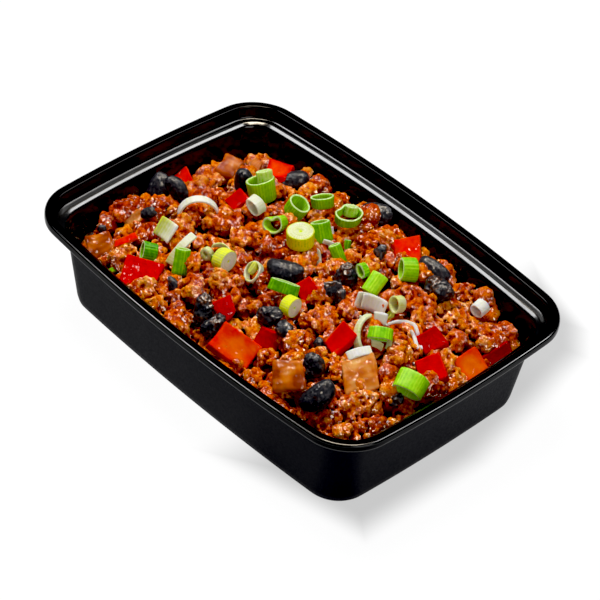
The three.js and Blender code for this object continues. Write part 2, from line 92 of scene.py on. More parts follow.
# ---------------- minced meat
VOXEL = 0.6
HEAP_LOW = 14.0  # the meat is grown above this height, and drawn down to the tray's floor below it
NO_HEAP = -50.0  # the height where no heap lies
CORE_DROP = 5.2  # the core lies this far under the heap's own surface
WALL_GAP = 0.45  # between the meat and the tray's wall
CLUMP_SPACING = 6.4
CLUMP_RADIUS = (2.8, 6.8)
CLUMP_CORE = 0.72  # a clump's core, as a share of its radius
CLUMP_GAPS = -0.62  # no clump lies where a wide noise is below this
SUNK_SHARE, SUNK_BY = 0.2, 1.5  # some clumps lie deeper
GRANULE_RADIUS = (0.5, 1.65)  # most are near the small end
GRANULE_AREA = 2.1  # square millimetres of a clump's surface for each granule
BESIDE = 1.6  # a granule this near to a topping lies beside it
PROUD, PROUD_BESIDE = 1.5, 0.5  # how far granules stand out of the heap's node, and beside a topping
MELT = 0.2  # how far neighbouring granules run together
HEAP_TRIANGLES = 194000
FOOT = 2.5  # the foot of the heap, this high, is stretched to just above the tray's floor
FOOT_GAP = 0.4
FOOT_NARROWER = (0.045, 0.065)  # share by which the foot is drawn in along x and y
LOOSE_COUNT = 9500
LOOSE_RADIUS = (0.3, 0.75)
SAUCE_LEAN = (0.2, -0.2, 0.95)  # a skin of sauce tips to the tray's near corner
CLUMP_TONES = (0.18, 0.78)
GRANULE_TONES = 0.09  # how far they stray from their clump's
WIDE_HOLLOW, CLOSE_HOLLOW = 3.2, 1.3  # how far around a point its gaps are measured, for the painted shade and painted light on the meat

# ---------------- where the random draws of each kind start
LOOSE_SEED, RING_SEED, DISC_SEED, STRIP_SEED, SLAB_SEED = 17, 100, 200, 299, 400
TUBE_SCRAP_SEED, SLAB_SCRAP_SEED = 500, 600
rng = np.random.default_rng(11)  # for the minced meat


# ================ small tools
def hashed(ix, iy, iz, seed):
    """A random value from -1 to 1 for each whole place."""
    h = (ix * 374761393 + iy * 668265263 + iz * 1274126177 + seed * 961748927) & 0xFFFFFFFF
    h = ((h ^ (h >> 13)) * 1103515245) & 0xFFFFFFFF
    h = ((h ^ (h >> 16)) * 2246822519) & 0xFFFFFFFF
    return ((h ^ (h >> 15)) & 0xFFFFFF) / 0x7FFFFF - 1.0


def noise(points, size, seed=0, octaves=1):
    """Smooth random values from -1 to 1 with features of about `size`."""
    total = np.zeros(len(points))
    for octave in range(octaves):
        scaled = points / size * 2.0**octave
        whole = np.floor(scaled).astype(np.int64)
        part = smoothstep(0, 1, scaled - whole)
        value = np.zeros(len(points))
        for dz, dy, dx in np.ndindex(2, 2, 2):
            corner = (dx, dy, dz)
            share = np.where(corner, part, 1 - part)
            value += share[:, 0] * share[:, 1] * share[:, 2] * hashed(*(whole + corner).T, seed + octave)
        total += value / 2**octave
    return total


def wander(points, size, seed):
    """A smooth random step for each point."""
    return np.column_stack([noise(points, size, seed=seed + k) for k in range(3)])


def unit(v):
    v = np.asarray(v, float)
    return v / np.linalg.norm(v, axis=-1, keepdims=True)


def smoothstep(low, high, x):
    t = np.clip((x - low) / (high - low), 0, 1)
    return t * t * (3 - 2 * t)


def waves(phase):
    """Ribs: from 1 down to 0 and back with each turn of the phase."""
    return 0.5 + 0.5 * np.cos(phase)


def joins_part(piece, slot, node=None):
    """The piece belongs to the tray's body, and may stand for a CAD node; `slot` is not used."""
    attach(piece, "root")
    if node:
        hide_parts(node)


def give_values(mesh, name, values):
    """One number a point, which the material reads by its name."""
    layer = mesh.attributes.new(name, "FLOAT", "POINT")
    layer.data.foreach_set("value", np.asarray(values, np.float32))


def read_values(mesh, name):
    values = np.empty(len(mesh.vertices), np.float32)
    mesh.attributes[name].data.foreach_get("value", values)
    return values


def add_object(name, data):
    thing = bpy.data.objects.new(name, data)
    bpy.context.scene.collection.objects.link(thing)
    return thing


def new_piece(name, points, faces, material, smooth=True):
    """A mesh object from points in millimetres."""
    mesh = bpy.data.meshes.new(name)
    mesh.from_pydata((np.asarray(points) * MM).tolist(), [], [list(face) for face in faces])
    mesh.update()
    if smooth:
        mesh.shade_smooth()
    mesh.materials.append(material)
    return add_object(name, mesh)


def apply_modifiers(piece):
    graph = bpy.context.evaluated_depsgraph_get()
    fresh = bpy.data.meshes.new_from_object(piece.evaluated_get(graph))
    old = piece.data
    piece.modifiers.clear()
    piece.data = fresh
    bpy.data.meshes.remove(old)
    fresh.name = piece.name


def subdivide(piece, levels):
    fine = piece.modifiers.new("fine", "SUBSURF")
    fine.levels = fine.render_levels = levels
    apply_modifiers(piece)


def vertex_vectors(mesh, key):
    """A mesh's "co", which are its points in metres, or its "normal" at each."""
    values = np.empty(len(mesh.vertices) * 3, np.float32)
    mesh.vertices.foreach_get(key, values)
    return values.reshape(-1, 3).astype(float)


def mesh_points(mesh):
    return vertex_vectors(mesh, "co") / MM


def move_points(mesh, points):
    mesh.vertices.foreach_set("co", (points * MM).astype(np.float32).ravel())
    mesh.update()


def triangle_corners(mesh):
    mesh.calc_loop_triangles()
    return np.array([t.vertices for t in mesh.loop_triangles])


def triangle_sides(triangles):
    """Unit normals and areas of triangles."""
    cross = np.cross(triangles[:, 1] - triangles[:, 0], triangles[:, 2] - triangles[:, 0])
    twice = np.linalg.norm(cross, axis=1)
    return cross / np.maximum(twice, 1e-9)[:, None], twice / 2


def node_faces(name):
    """Corner points, unit normals and areas of a CAD node's triangles."""
    mesh = NODES[name].data
    triangles = mesh_points(mesh)[triangle_corners(mesh)]
    normals, areas = triangle_sides(triangles)
    kept = areas > 5e-7
    return triangles[kept], normals[kept], areas[kept]


def random_places(triangles, chosen, generator):
    """A random place on each chosen triangle."""
    a, b = generator.random((2, len(chosen), 1))
    a, b = np.where(a + b > 1, 1 - a, a), np.where(a + b > 1, 1 - b, b)
    t = triangles[chosen]
    return t[:, 0] + a * (t[:, 1] - t[:, 0]) + b * (t[:, 2] - t[:, 0])


def surface_tree(meshes):
    """A search tree over the faces of meshes, in millimetres."""
    points, faces = [], []
    for mesh in meshes:
        start = len(points)
        points += [v.co / MM for v in mesh.vertices]
        faces += [[start + i for i in face.vertices] for face in mesh.polygons]
    return BVHTree.FromPolygons(points, faces)


def topping_tree():
    return surface_tree(node.data for name, node in NODES.items() if name not in ("tray", "chili_heap"))


# ================ materials
class Shader:
    """A node material with one Principled shader.  A value is a number, a colour or another node's output."""

    def __init__(self, name, **values):
        self.material = bpy.data.materials.new(name)
        self.material.use_nodes = True
        self.tree = self.material.node_tree
        self.tree.nodes.clear()
        self.surface = self.tree.nodes.new("ShaderNodeBsdfPrincipled")
        output = self.tree.nodes.new("ShaderNodeOutputMaterial")
        self.tree.links.new(self.surface.outputs[0], output.inputs["Surface"])
        self.set(**values)

    def feed(self, socket, value):
        if isinstance(value, bpy.types.NodeSocket):
            self.tree.links.new(value, socket)
        else:
            socket.default_value = (*value, 1) if socket.type == "RGBA" else value

    def set(self, **values):
        """Feeds the surface's inputs, whose names have an underscore here for each space."""
        for key, value in values.items():
            self.feed(self.surface.inputs[key.replace("_", " ")], value)

    def see_into(self, weight, *reach):
        """Light goes so many millimetres in, for red, green and blue."""
        self.set(Subsurface_Weight=weight, Subsurface_Radius=[r * MM for r in reach], Subsurface_Scale=1.0)

    def add(self, kind, inputs, output=0, **settings):
        node = self.tree.nodes.new(kind)
        for key, value in settings.items():
            setattr(node, key, value)
        for key, value in inputs.items():
            self.feed(node.inputs[key], value)
        return node.outputs[output]

    def place(self, output="Object"):
        return self.add("ShaderNodeTexCoord", {}, output=output)

    def attribute(self, name):
        return self.add("ShaderNodeAttribute", {}, output="Fac", attribute_name=name)

    def noise(self, size, detail=3.0, roughness=0.55, output="Fac"):
        """Noise whose features are about `size` millimetres."""
        inputs = {"Vector": self.place(), "Scale": 1 / (size * MM), "Detail": detail, "Roughness": roughness}
        return self.add("ShaderNodeTexNoise", inputs, output=output)

    def cells(self, size):
        inputs = {"Vector": self.place(), "Scale": 1 / (size * MM)}
        return self.add("ShaderNodeTexVoronoi", inputs, output="Distance")

    def math(self, operation, a, b, clamp=False):
        return self.add("ShaderNodeMath", {0: a, 1: b}, operation=operation, use_clamp=clamp)

    def plus(self, a, b, clamp=False):
        return self.math("ADD", a, b, clamp)

    def times(self, a, b):
        return self.math("MULTIPLY", a, b)

    def vector(self, operation, *values, output=0):
        return self.add("ShaderNodeVectorMath", dict(enumerate(values)), output=output, operation=operation)

    def between(self, value, low, high, to_low=0.0, to_high=1.0, smooth=False):
        inputs = {"Value": value, "From Min": low, "From Max": high, "To Min": to_low, "To Max": to_high}
        kind = "SMOOTHSTEP" if smooth else "LINEAR"
        return self.add("ShaderNodeMapRange", inputs, clamp=True, interpolation_type=kind)

    def swing(self, noise, low, high):
        """A noise, which mostly lies between 0.3 and 0.7, drawn out from low to high."""
        return self.between(noise, 0.3, 0.7, low, high)

    def ramp(self, value, stops):
        node = self.tree.nodes.new("ShaderNodeValToRGB")
        self.tree.links.new(value, node.inputs[0])
        elements = node.color_ramp.elements
        while len(elements) < len(stops):
            elements.new(0.5)
        for element, (position, colour) in zip(elements, stops):
            element.position = position
            element.color = (*colour, 1)
        return node.outputs[0]

    def blend(self, share, a, b):
        return self.add("ShaderNodeMix", {"Factor": share, 6: a, 7: b}, output=2, data_type="RGBA")

    def bump(self, height, depth, normal=None, strength=1.0):
        inputs = {"Height": height, "Distance": depth * MM, "Strength": strength}
        if normal is not None:
            inputs["Normal"] = normal
        return self.add("ShaderNodeBump", inputs)

    def wet_normal(self, size, share, spread):
        """The normal of a skin of sauce: dimpled, and leaning only by `share` as what it covers does."""
        dimples = self.noise(size, detail=1.0, roughness=0.5, output="Color")
        lean = tuple((1 - share) * v - spread / 2 for v in SAUCE_LEAN)
        flat = self.vector("MULTIPLY_ADD", dimples, (spread,) * 3, lean)
        both = self.vector("MULTIPLY_ADD", self.place("Normal"), (share,) * 3, flat)
        return self.vector("NORMALIZE", both)


def tray_gloss_material():
    m = Shader("tray_gloss", Base_Color=(0.0022, 0.0022, 0.0026), Specular_IOR_Level=0.36)
    m.set(Roughness=m.between(m.noise(24, detail=4), 0.35, 0.75, 0.1, 0.26))
    m.set(Normal=m.bump(m.noise(9, detail=1), 0.05))
    return m.material


def tray_dim_material():
    m = Shader("tray_rim", Base_Color=(0.0022, 0.0022, 0.0028), Specular_IOR_Level=0.06)
    m.set(Roughness=m.between(m.noise(24, detail=4), 0.35, 0.75, 0.12, 0.24))
    return m.material


def tray_satin_material():
    m = Shader("tray_satin", Specular_IOR_Level=0.04)
    speck = m.noise(0.55, detail=2)
    m.set(Base_Color=m.ramp(speck, [(0.35, (0.0016, 0.0017, 0.0034)), (0.75, (0.0048, 0.0048, 0.0088))]))
    m.set(Roughness=m.swing(m.noise(1.2), 0.38, 0.5), Normal=m.bump(speck, 0.05, strength=0.8))
    return m.material


def meat_material():
    """Minced meat: `tone` runs from dark red to pale orange, with painted shade and painted light in it, and
    `depth` is 1 deep between clumps, where it paints shade.
    """
    m = Shader("minced_meat_in_sauce", IOR=1.42, Specular_IOR_Level=0.0, Coat_IOR=1.34, Coat_Roughness=0.04)
    depth = m.attribute("depth")
    fine = m.noise(1.0, detail=4, roughness=0.65)
    shade = m.plus(m.attribute("tone"), m.swing(fine, -0.3, 0.3))
    shade = m.plus(shade, m.swing(m.noise(6), -0.15, 0.15), clamp=True)
    lit = m.ramp(shade, [
        (0.0, (0.20, 0.008, 0.0008)),
        (0.3, (0.44, 0.036, 0.0009)),
        (0.55, (0.65, 0.092, 0.0015)),
        (0.8, (0.80, 0.19, 0.005)),
        (1.0, (0.88, 0.33, 0.028)),
    ])
    # Deeper in, the dark red of sauce: partly the sauce's own colour, partly painted shade.
    sauce = m.blend(m.between(depth, 0.1, 0.65), lit, (0.20, 0.009, 0.001))
    # Deepest in, near black: painted shade.
    m.set(Base_Color=m.blend(m.between(depth, 0.5, 0.95), sauce, (0.012, 0.002, 0.001)))
    m.set(Roughness=m.between(m.noise(2.2), 0.35, 0.7, 0.3, 0.5))
    m.see_into(0.08, 2.2, 0.6, 0.2)
    wet = m.between(m.noise(3.4), 0.49, 0.54)
    m.set(Coat_Weight=m.times(wet, m.between(depth, 0.2, 0.7, 1.0, 0.1)))
    m.set(Coat_Normal=m.wet_normal(1.45, 0.3, 2.3))
    coarse = m.bump(m.noise(1.6, detail=2), 0.5)
    m.set(Normal=m.bump(fine, 0.3, m.bump(m.cells(1.0), 0.35, coarse)))
    return m.material


def onion_green_material():
    """Spring onion: `side` is 0 on the skin, 1 on a cut and 2 inside, and `rib` runs across the ribs."""
    m = Shader("spring_onion_green", IOR=1.42, Specular_IOR_Level=0.1)
    side = m.attribute("side")
    vein = m.noise(2.0)
    streak = m.plus(m.times(m.attribute("rib"), 0.3), m.times(vein, 0.6))
    streak = m.plus(streak, m.attribute("tone"), clamp=True)
    skin = m.ramp(streak, [
        (0.0, (0.05, 0.29, 0.005)),
        (0.3, (0.18, 0.54, 0.010)),
        (0.6, (0.38, 0.77, 0.018)),
        (0.85, (0.54, 0.84, 0.045)),
        (1.0, (0.72, 0.90, 0.22)),
    ])
    inner = m.ramp(streak, [(0.0, (0.17, 0.48, 0.012)), (0.6, (0.48, 0.82, 0.05)), (1.0, (0.74, 0.88, 0.28))])
    cut = m.ramp(m.noise(0.9), [(0.3, (0.45, 0.66, 0.16)), (0.7, (0.80, 0.88, 0.50))])
    outer = m.blend(m.between(side, 0.3, 0.9), skin, cut)
    m.set(Base_Color=m.blend(m.between(side, 1.1, 1.7), outer, inner))
    m.set(Roughness=m.swing(vein, 0.2, 0.3), Normal=m.bump(m.noise(0.7), 0.1))
    m.see_into(0.18, 0.8, 1.4, 0.3)
    return m.material


def onion_white_material():
    """Pale spring onion: `tone` runs from white at 0 to yellow-green at 1, and `rib` across the veins."""
    m = Shader("spring_onion_white", IOR=1.42, Specular_IOR_Level=0.03)
    mottle = m.noise(2.4)
    shade = m.plus(m.attribute("tone"), m.swing(mottle, -0.1, 0.1))
    shade = m.plus(shade, m.between(m.attribute("rib"), 0.0, 1.0, -0.07, 0.07), clamp=True)
    m.set(Base_Color=m.ramp(shade, [
        (0.0, (0.86, 0.84, 0.76)),
        (0.3, (0.80, 0.81, 0.55)),
        (0.6, (0.64, 0.70, 0.14)),
        (0.85, (0.88, 0.93, 0.015)),
        (1.0, (0.50, 0.72, 0.02)),
    ]))
    m.set(Roughness=m.swing(mottle, 0.28, 0.42), Normal=m.bump(m.noise(0.6), 0.08))
    m.see_into(0.35, 2.2, 2.0, 1.0)
    return m.material


def bean_material():
    """Black bean: `crust` is 0 on bare skin and 1 under sauce."""
    m = Shader("black_bean", IOR=1.47, Specular_IOR_Level=0.14, Coat_IOR=1.36, Coat_Roughness=0.07)
    crust = m.attribute("crust")
    skin = m.ramp(m.noise(1.6, detail=4), [
        (0.35, (0.008, 0.008, 0.012)), (0.55, (0.022, 0.022, 0.029)), (0.7, (0.06, 0.05, 0.054)),
    ])
    sauce = m.ramp(m.noise(1.0, detail=4), [
        (0.35, (0.012, 0.005, 0.004)), (0.55, (0.06, 0.018, 0.008)), (0.7, (0.30, 0.09, 0.02)),
    ])
    m.set(Base_Color=m.blend(m.between(crust, 0.35, 0.6), skin, sauce))
    m.set(Roughness=m.between(m.noise(2.6), 0.35, 0.7, 0.34, 0.46))
    m.set(Coat_Weight=m.between(crust, 0.2, 0.6, 0.3, 0.9), Coat_Normal=m.wet_normal(1.8, 0.8, 1.8))
    m.set(Normal=m.bump(m.noise(0.6, detail=2), 0.03, m.bump(m.noise(2.2), 0.5)))
    return m.material


def pepper_material():
    """Red pepper: `side` is 0 on the skin and 1 on the cut flesh, and `tone` runs from crimson to orange."""
    m = Shader("red_pepper", IOR=1.44, Specular_IOR_Level=0.0, Coat_IOR=1.34, Coat_Roughness=0.05)
    mottle = m.noise(3.2, detail=4)
    shade = m.plus(m.attribute("tone"), m.swing(mottle, -0.15, 0.15), clamp=True)
    skin = m.ramp(shade, [
        (0.0, (0.36, 0.0, 0.003)),
        (0.35, (0.62, 0.002, 0.001)),
        (0.7, (0.80, 0.016, 0.001)),
        (1.0, (0.88, 0.07, 0.002)),
    ])
    flesh = m.ramp(shade, [
        (0.0, (0.55, 0.004, 0.001)), (0.5, (0.84, 0.05, 0.002)), (1.0, (0.90, 0.19, 0.004)),
    ])
    m.set(Base_Color=m.blend(m.attribute("side"), skin, flesh))
    m.set(Roughness=m.swing(mottle, 0.2, 0.3), Normal=m.bump(m.noise(1.4, detail=2), 0.05))
    m.see_into(0.15, 2.4, 0.6, 0.3)
    m.set(Coat_Weight=m.between(m.noise(2.0, detail=2), 0.6, 0.63, 0.0, 0.6))
    m.set(Coat_Normal=m.wet_normal(1.6, 0.85, 1.8))
    return m.material


def cooked_onion_material():
    """Cooked onion: `side` is 1 at its edges, and `rib` runs across the veins."""
    m = Shader("cooked_onion", IOR=1.4, Specular_IOR_Level=0.0, Coat_IOR=1.36, Coat_Roughness=0.05)
    mottle = m.noise(8.0, detail=1)
    shade = m.plus(m.times(m.attribute("rib"), 0.07), m.times(mottle, 1.1))
    shade = m.plus(shade, m.attribute("tone"), clamp=True)
    flesh = m.ramp(shade, [
        (0.38, (0.30, 0.040, 0.002)),
        (0.53, (0.52, 0.110, 0.005)),
        (0.68, (0.68, 0.21, 0.018)),
        (0.88, (0.80, 0.42, 0.13)),
    ])
    edge = m.between(m.attribute("side"), 0.1, 0.9, 0.0, 0.8)
    m.set(Base_Color=m.blend(edge, flesh, (0.50, 0.085, 0.004)))
    m.set(Roughness=m.swing(mottle, 0.2, 0.3), Normal=m.bump(m.noise(1.6, detail=2), 0.08))
    m.see_into(0.45, 3.0, 1.8, 0.9)
    m.set(Coat_Weight=m.between(m.noise(2.2, detail=2), 0.5, 0.55), Coat_Normal=m.wet_normal(1.8, 0.8, 2.2))
    return m.material


def floor_material():
    """A white sweep that glows by itself, so that only a soft shadow at the tray's right shows, painted by
    dimming the glow.
    """
    m = Shader("pale_floor", Roughness=0.9, Specular_IOR_Level=0.0, Base_Color=(0.06, 0.06, 0.06))
    place = m.place()
    painted_shadow = 1.0
    for outward, start, end in PAINTED_SHADOW_EDGES:
        away = m.vector("DOT_PRODUCT", place, (*outward, 0.0), output="Value")
        painted_shadow = m.math("MINIMUM", painted_shadow, m.between(away, start * MM, end * MM, 1.0, 0.0, smooth=True))
    # The glow drops inside the edges: a painted shadow.
    m.set(Emission_Color=WHITE, Emission_Strength=m.between(painted_shadow, 0.0, 1.0, 0.97, 0.575))
    return m.material


# ================ stage
def camera_axes():
    """The ways to the picture's right, up in it, and back to the camera."""
    azimuth, elevation, roll = (math.radians(a) for a in (CAMERA_AZIMUTH, CAMERA_ELEVATION, CAMERA_ROLL))
    level = math.cos(elevation)
    back = np.array([math.sin(azimuth) * level, -math.cos(azimuth) * level, math.sin(elevation)])
    right = np.array([math.cos(azimuth), math.sin(azimuth), 0.0])
    up = np.cross(back, right)
    return right * math.cos(roll) + up * math.sin(roll), up * math.cos(roll) - right * math.sin(roll), back


RIGHT, UP, BACK = camera_axes()
CAMERA_AT = np.array(CAMERA_TARGET) + BACK * CAMERA_DISTANCE


def add_camera():
    data = bpy.data.cameras.new("camera")
    data.sensor_width = SENSOR
    data.lens = CAMERA_FOCUS / PICTURE * SENSOR
    data.clip_start = 0.05
    data.clip_end = 20
    camera = add_object("camera", data)
    turn = Matrix((RIGHT, UP, BACK)).transposed().to_4x4()
    camera.matrix_world = Matrix.Translation(Vector(CAMERA_AT * MM)) @ turn
    bpy.context.scene.camera = camera


def add_light(name, towards, distance, width, height, radiance, shines=True, mirrored=True, colour=WHITE):
    """A softbox over the tray, in metres, that shines, shows as a reflection, or both."""
    data = bpy.data.lights.new(name, "AREA")
    data.shape = "RECTANGLE"
    data.size = width
    data.size_y = height
    data.energy = radiance * math.pi * width * height
    data.color = colour
    light = add_object(name, data)
    direction = Vector(towards).normalized()
    light.location = direction * distance + LIGHTS_AIM
    light.rotation_euler = direction.to_track_quat("Z", "Y").to_euler()
    light.visible_diffuse = shines
    light.visible_glossy = mirrored


def add_lights():
    add_light("key_softbox", (-0.36, 0.05, 1), 1.2, 0.5, 0.5, 16.5, mirrored=False)
    add_light("fill_softbox", (0.95, -0.2, 0.6), 1.3, 0.7, 0.7, 2.6)
    add_light("wet_glints", (-0.16, 0.2, 0.97), 1.2, 0.46, 0.46, 50.0, shines=False, colour=CREAM)
    add_light("long_side_glint", (-0.516, -0.1, 0.845), 1.2, 0.5, 0.3, 22.0, shines=False)
    add_light("short_side_glint", (0.13, 0.553, 0.823), 1.2, 0.3, 0.5, 22.0, shines=False)


def add_stage():
    corners = [(x * FLOOR_SIZE, y * FLOOR_SIZE, 0) for x, y in ((-1, -1), (1, -1), (1, 1), (-1, 1))]
    floor = new_piece("floor", corners, [(0, 1, 2, 3)], floor_material(), smooth=False)
    world = bpy.data.worlds.new("studio")
    world.use_nodes = True
    background = world.node_tree.nodes["Background"]
    background.inputs["Color"].default_value = (*SKY, 1)
    background.inputs["Strength"].default_value = SKY_STRENGTH
    bpy.context.scene.world = world
    view = bpy.context.scene.view_settings
    view.view_transform = "Standard"
    view.look = "None"
    view.exposure = 0.0
    view.use_curve_mapping = True
    view.curve_mapping.black_level = (BLACK, BLACK, BLACK)
    view.curve_mapping.update()


# ================ tray
def tray_ring(inset, z, radius, bow):
    """A ring of the tray: a rounded rectangle, set in from the rim's edge, whose sides bulge outward."""
    bow_x, bow_y = BOW_SHORT * bow, BOW_LONG * bow
    half_x = TRAY_LENGTH / 2 - inset - bow_x
    half_y = TRAY_WIDTH / 2 - inset - bow_y
    middle = np.array([half_x - radius, half_y - radius])
    middles = [middle * way for way in ((1, 1), (-1, 1), (-1, -1), (1, -1))]

    def on_corner(k, share):
        angle = math.pi / 2 * (k + share)
        return middles[k % 4] + radius * np.array([math.cos(angle), math.sin(angle)])

    points = []
    for k in range(4):
        points += [on_corner(k, i / CORNER_STEPS) for i in range(CORNER_STEPS + 1)]
        start, end = points[-1], on_corner(k + 1, 0)
        points += [start + (end - start) * i / SIDE_STEPS for i in range(1, SIDE_STEPS)]
    x, y = np.array(points).T
    bulge_x = np.tanh(x / BOW_BLEND) * bow_x * (1 - (y / half_y) ** 2)
    bulge_y = np.tanh(y / BOW_BLEND) * bow_y * (1 - (x / half_x) ** 2)
    return np.column_stack([x + bulge_x, y + bulge_y, np.full(len(x), z)])


H = TRAY_HEIGHT
LEDGE = H - LEDGE_DROP
LIP_LOW = H - SKIRT
BEAD_TOP = LIP_LOW + 0.6  # a bright bead runs along the lower edge of the rim's lip
# Rows of inset from the rim's edge, height, corner radius and share of the bulge, from underside to floor.
OUTSIDE = [
    (19.4, 0, 11.2, 0.52), (17.2, 0.6, 13.0, 0.52), (15.6, 2.4, 14.6, 0.52), (14.9, 5.0, 15.0, 0.54),
    (10.1, H - 8.6, 11.4, 0.9), (8.9, H - 7.8, 11.6, 0.92), (4.9, H - 7.6, 15.5, 0.95),
    (4.1, H - 6.8, 16.3, 0.95), (3.4, H - 1.2, 17.0, 1), (1.0, H - 1.2, 19.4, 1), (0.9, LIP_LOW, 19.5, 1),
]
RIM = [
    (0.02, LIP_LOW, RIM_RADIUS, 1), (0, BEAD_TOP, RIM_RADIUS, 1), (0, H - 1.0, RIM_RADIUS, 1),
    (0.3, H - 0.3, RIM_RADIUS - 0.3, 1), (1.0, H, RIM_RADIUS - 1, 1), (3.9, H, 16.5, 1),
    (4.5, H - 0.5, 15.9, 1), (5.2, LEDGE + 0.8, 15.2, 0.96), (6.0, LEDGE, 14.4, 0.95),
    (8.1, LEDGE, 12.3, 0.93), (8.7, LEDGE - 0.12, 11.7, 0.92), (10.3, H - 7.6, 10.4, 0.91),
    (10.9, H - 8.8, 10.4, 0.9),
]
INSIDE = [
    (15.8, 5.4, 14.0, 0.54), (16.5, 3.2, 13.6, 0.52), (18.2, 1.7, 12.0, 0.52), (20.4, FLOOR, 10.2, 0.52),
]
GLOSS, SATIN, DIM = range(3)


def supported(rows):
    """The rows with more of them beside each edge of a long stretch."""
    result = [rows[0]]
    for a, b in zip(rows, rows[1:]):
        a, b = np.array(a, float), np.array(b, float)
        length = math.hypot(b[0] - a[0], b[1] - a[1])
        if length > 3 * SUPPORT:
            share = SUPPORT / length
            result += [a + (b - a) * share, a + (b - a) * (1 - share)]
        result.append(b)
    return result


def tray_finish(row, after, outside):
    """Which of the tray's materials the wall between two rows has."""
    inset, z = (row[0] + after[0]) / 2, (row[1] + after[1]) / 2
    if outside and after[1] <= LIP_LOW + 0.1:
        return SATIN
    lip = inset < 0.5 and BEAD_TOP < z < H - 1.0
    top = 1.0 < inset < 4.6 and z > H - 0.6
    return DIM if lip or top else GLOSS


def build_tray():
    rows = supported(OUTSIDE + RIM + INSIDE)
    rings = [tray_ring(*row) for row in rows]
    count = len(rings[0])
    faces = ring_grid(len(rings), count, closed_rows=False).tolist() + end_faces(len(rings), count)
    finish = []
    outside = len(supported(OUTSIDE))
    for k, (row, after) in enumerate(zip(rows, rows[1:])):
        finish += [tray_finish(row, after, k < outside)] * count
    finish += [SATIN, GLOSS]
    tray = new_piece("tray_body", np.vstack(rings), faces, tray_gloss_material())
    tray.data.materials.append(tray_satin_material())
    tray.data.materials.append(tray_dim_material())
    tray.data.polygons.foreach_set("material_index", np.array(finish, np.int32))
    subdivide(tray, 1)
    joins_part(tray, "tray", "tray")


def ring_grid(rows, count, closed_rows=True):
    """Quads between rings of equal length, and from the last ring to the first where the rows close."""
    around = np.arange(count)
    after = (around + 1) % count
    faces = []
    for k in range(rows if closed_rows else rows - 1):
        a, b = k * count, (k + 1) % rows * count
        faces.append(np.column_stack([a + around, a + after, b + after, b + around]))
    return np.vstack(faces)


def end_faces(rows, count):
    """The faces that close the first ring and the last."""
    return [list(range(count - 1, -1, -1)), list(range((rows - 1) * count, rows * count))]


# ================ minced meat
def ring_distance(ring, x, y):
    """How far each point of the plane lies inside a ring of the tray, negative outside it."""
    shape = np.broadcast(x, y).shape
    nearest = np.full(shape, 1e9)
    inside = np.zeros(shape, bool)
    for (ax, ay), (bx, by) in zip(ring[:, :2], np.roll(ring[:, :2], -1, axis=0)):
        dx, dy = bx - ax, by - ay
        share = np.clip(((x - ax) * dx + (y - ay) * dy) / (dx * dx + dy * dy), 0, 1)
        nearest = np.minimum(nearest, np.hypot(x - ax - share * dx, y - ay - share * dy))
        crosses = (ay > y) != (by > y)
        inside ^= crosses & (x < dx * (y - ay) / (dy if dy else 1e-9) + ax)
    return np.where(inside, nearest, -nearest)


def wall_distance(x, y, z):
    """How far each point lies inside the tray's inner wall, from the wall's rings at two heights."""
    upper, lower = RIM[-1], INSIDE[0]
    near, far = (ring_distance(tray_ring(*row), x, y) for row in (upper, lower))
    return near + (far - near) * np.clip((upper[1] - z) / (upper[1] - lower[1]), 0, 1)


def scattered_on(name, spacing, keep, generator):
    """Points on a CAD node's faces, at least `spacing` apart, with the faces' normals."""
    triangles, normals, areas = node_faces(name)
    count = int(areas.sum() / spacing**2 * 5)
    chosen = generator.choice(len(areas), count, p=areas / areas.sum())
    points, normals = random_places(triangles, chosen, generator), normals[chosen]
    wanted = keep(points, normals)
    points, normals = points[wanted], normals[wanted]
    taken = {}
    result = []
    for i, p in enumerate(points):
        cell = tuple((p // spacing).astype(int))
        near = (taken.get(tuple(np.add(cell, step)), ()) for step in itertools.product((-1, 0, 1), repeat=3))
        if all(np.sum((points[j] - p) ** 2) >= spacing**2 for js in near for j in js):
            taken.setdefault(cell, []).append(i)
            result.append(i)
    return points[result], normals[result]


class Field:
    """Signed distances in millimetres on a grid of cubes over the heap, for growing the meat."""

    def __init__(self, low, high, size):
        self.low = np.array(low, float)
        self.size = size
        self.shape = tuple(np.ceil((np.array(high) - low) / size).astype(int))
        self.axes = [self.low[k] + np.arange(self.shape[k]) * size for k in range(3)]
        self.sum = np.zeros(self.shape, np.float32)

    def add_ball(self, centre, radius):
        """A ball melts into what is there: the sum of exponentials gives a smooth union."""
        reach = radius + 4 * MELT
        first = np.maximum(np.floor((centre - reach - self.low) / self.size).astype(int), 0)
        last = np.minimum(np.ceil((centre + reach - self.low) / self.size).astype(int) + 1, self.shape)
        part = tuple(slice(a, b) for a, b in zip(first, last))
        x, y, z = (axis[s] - c for axis, s, c in zip(self.axes, part, centre))
        distance = np.sqrt(x[:, None, None] ** 2 + y[None, :, None] ** 2 + z[None, None, :] ** 2) - radius
        self.sum[part] += np.exp(-distance / MELT)

    def distance(self):
        return -MELT * np.log(np.maximum(self.sum, 1e-30))

    def sample(self, values, points):
        """Values of a grid, or of a map from above, at the corner nearest to each point."""
        index = np.rint((points - self.low) / self.size).astype(int)[:, :values.ndim]
        return values[tuple(np.clip(index, 0, np.array(values.shape) - 1).T)]


def box_blur(values, reach):
    """Mean over a cube that reaches so many cells each way."""
    width = 2 * reach + 1
    for axis in range(3):
        padding = [(0, 0)] * 3
        padding[axis] = (reach + 1, reach)
        total = np.cumsum(np.pad(values, padding, mode="edge"), axis=axis, dtype=np.float64)
        ahead = np.take(total, range(width, total.shape[axis]), axis=axis)
        behind = np.take(total, range(0, total.shape[axis] - width), axis=axis)
        values = ((ahead - behind) / width).astype(np.float32)
    return values


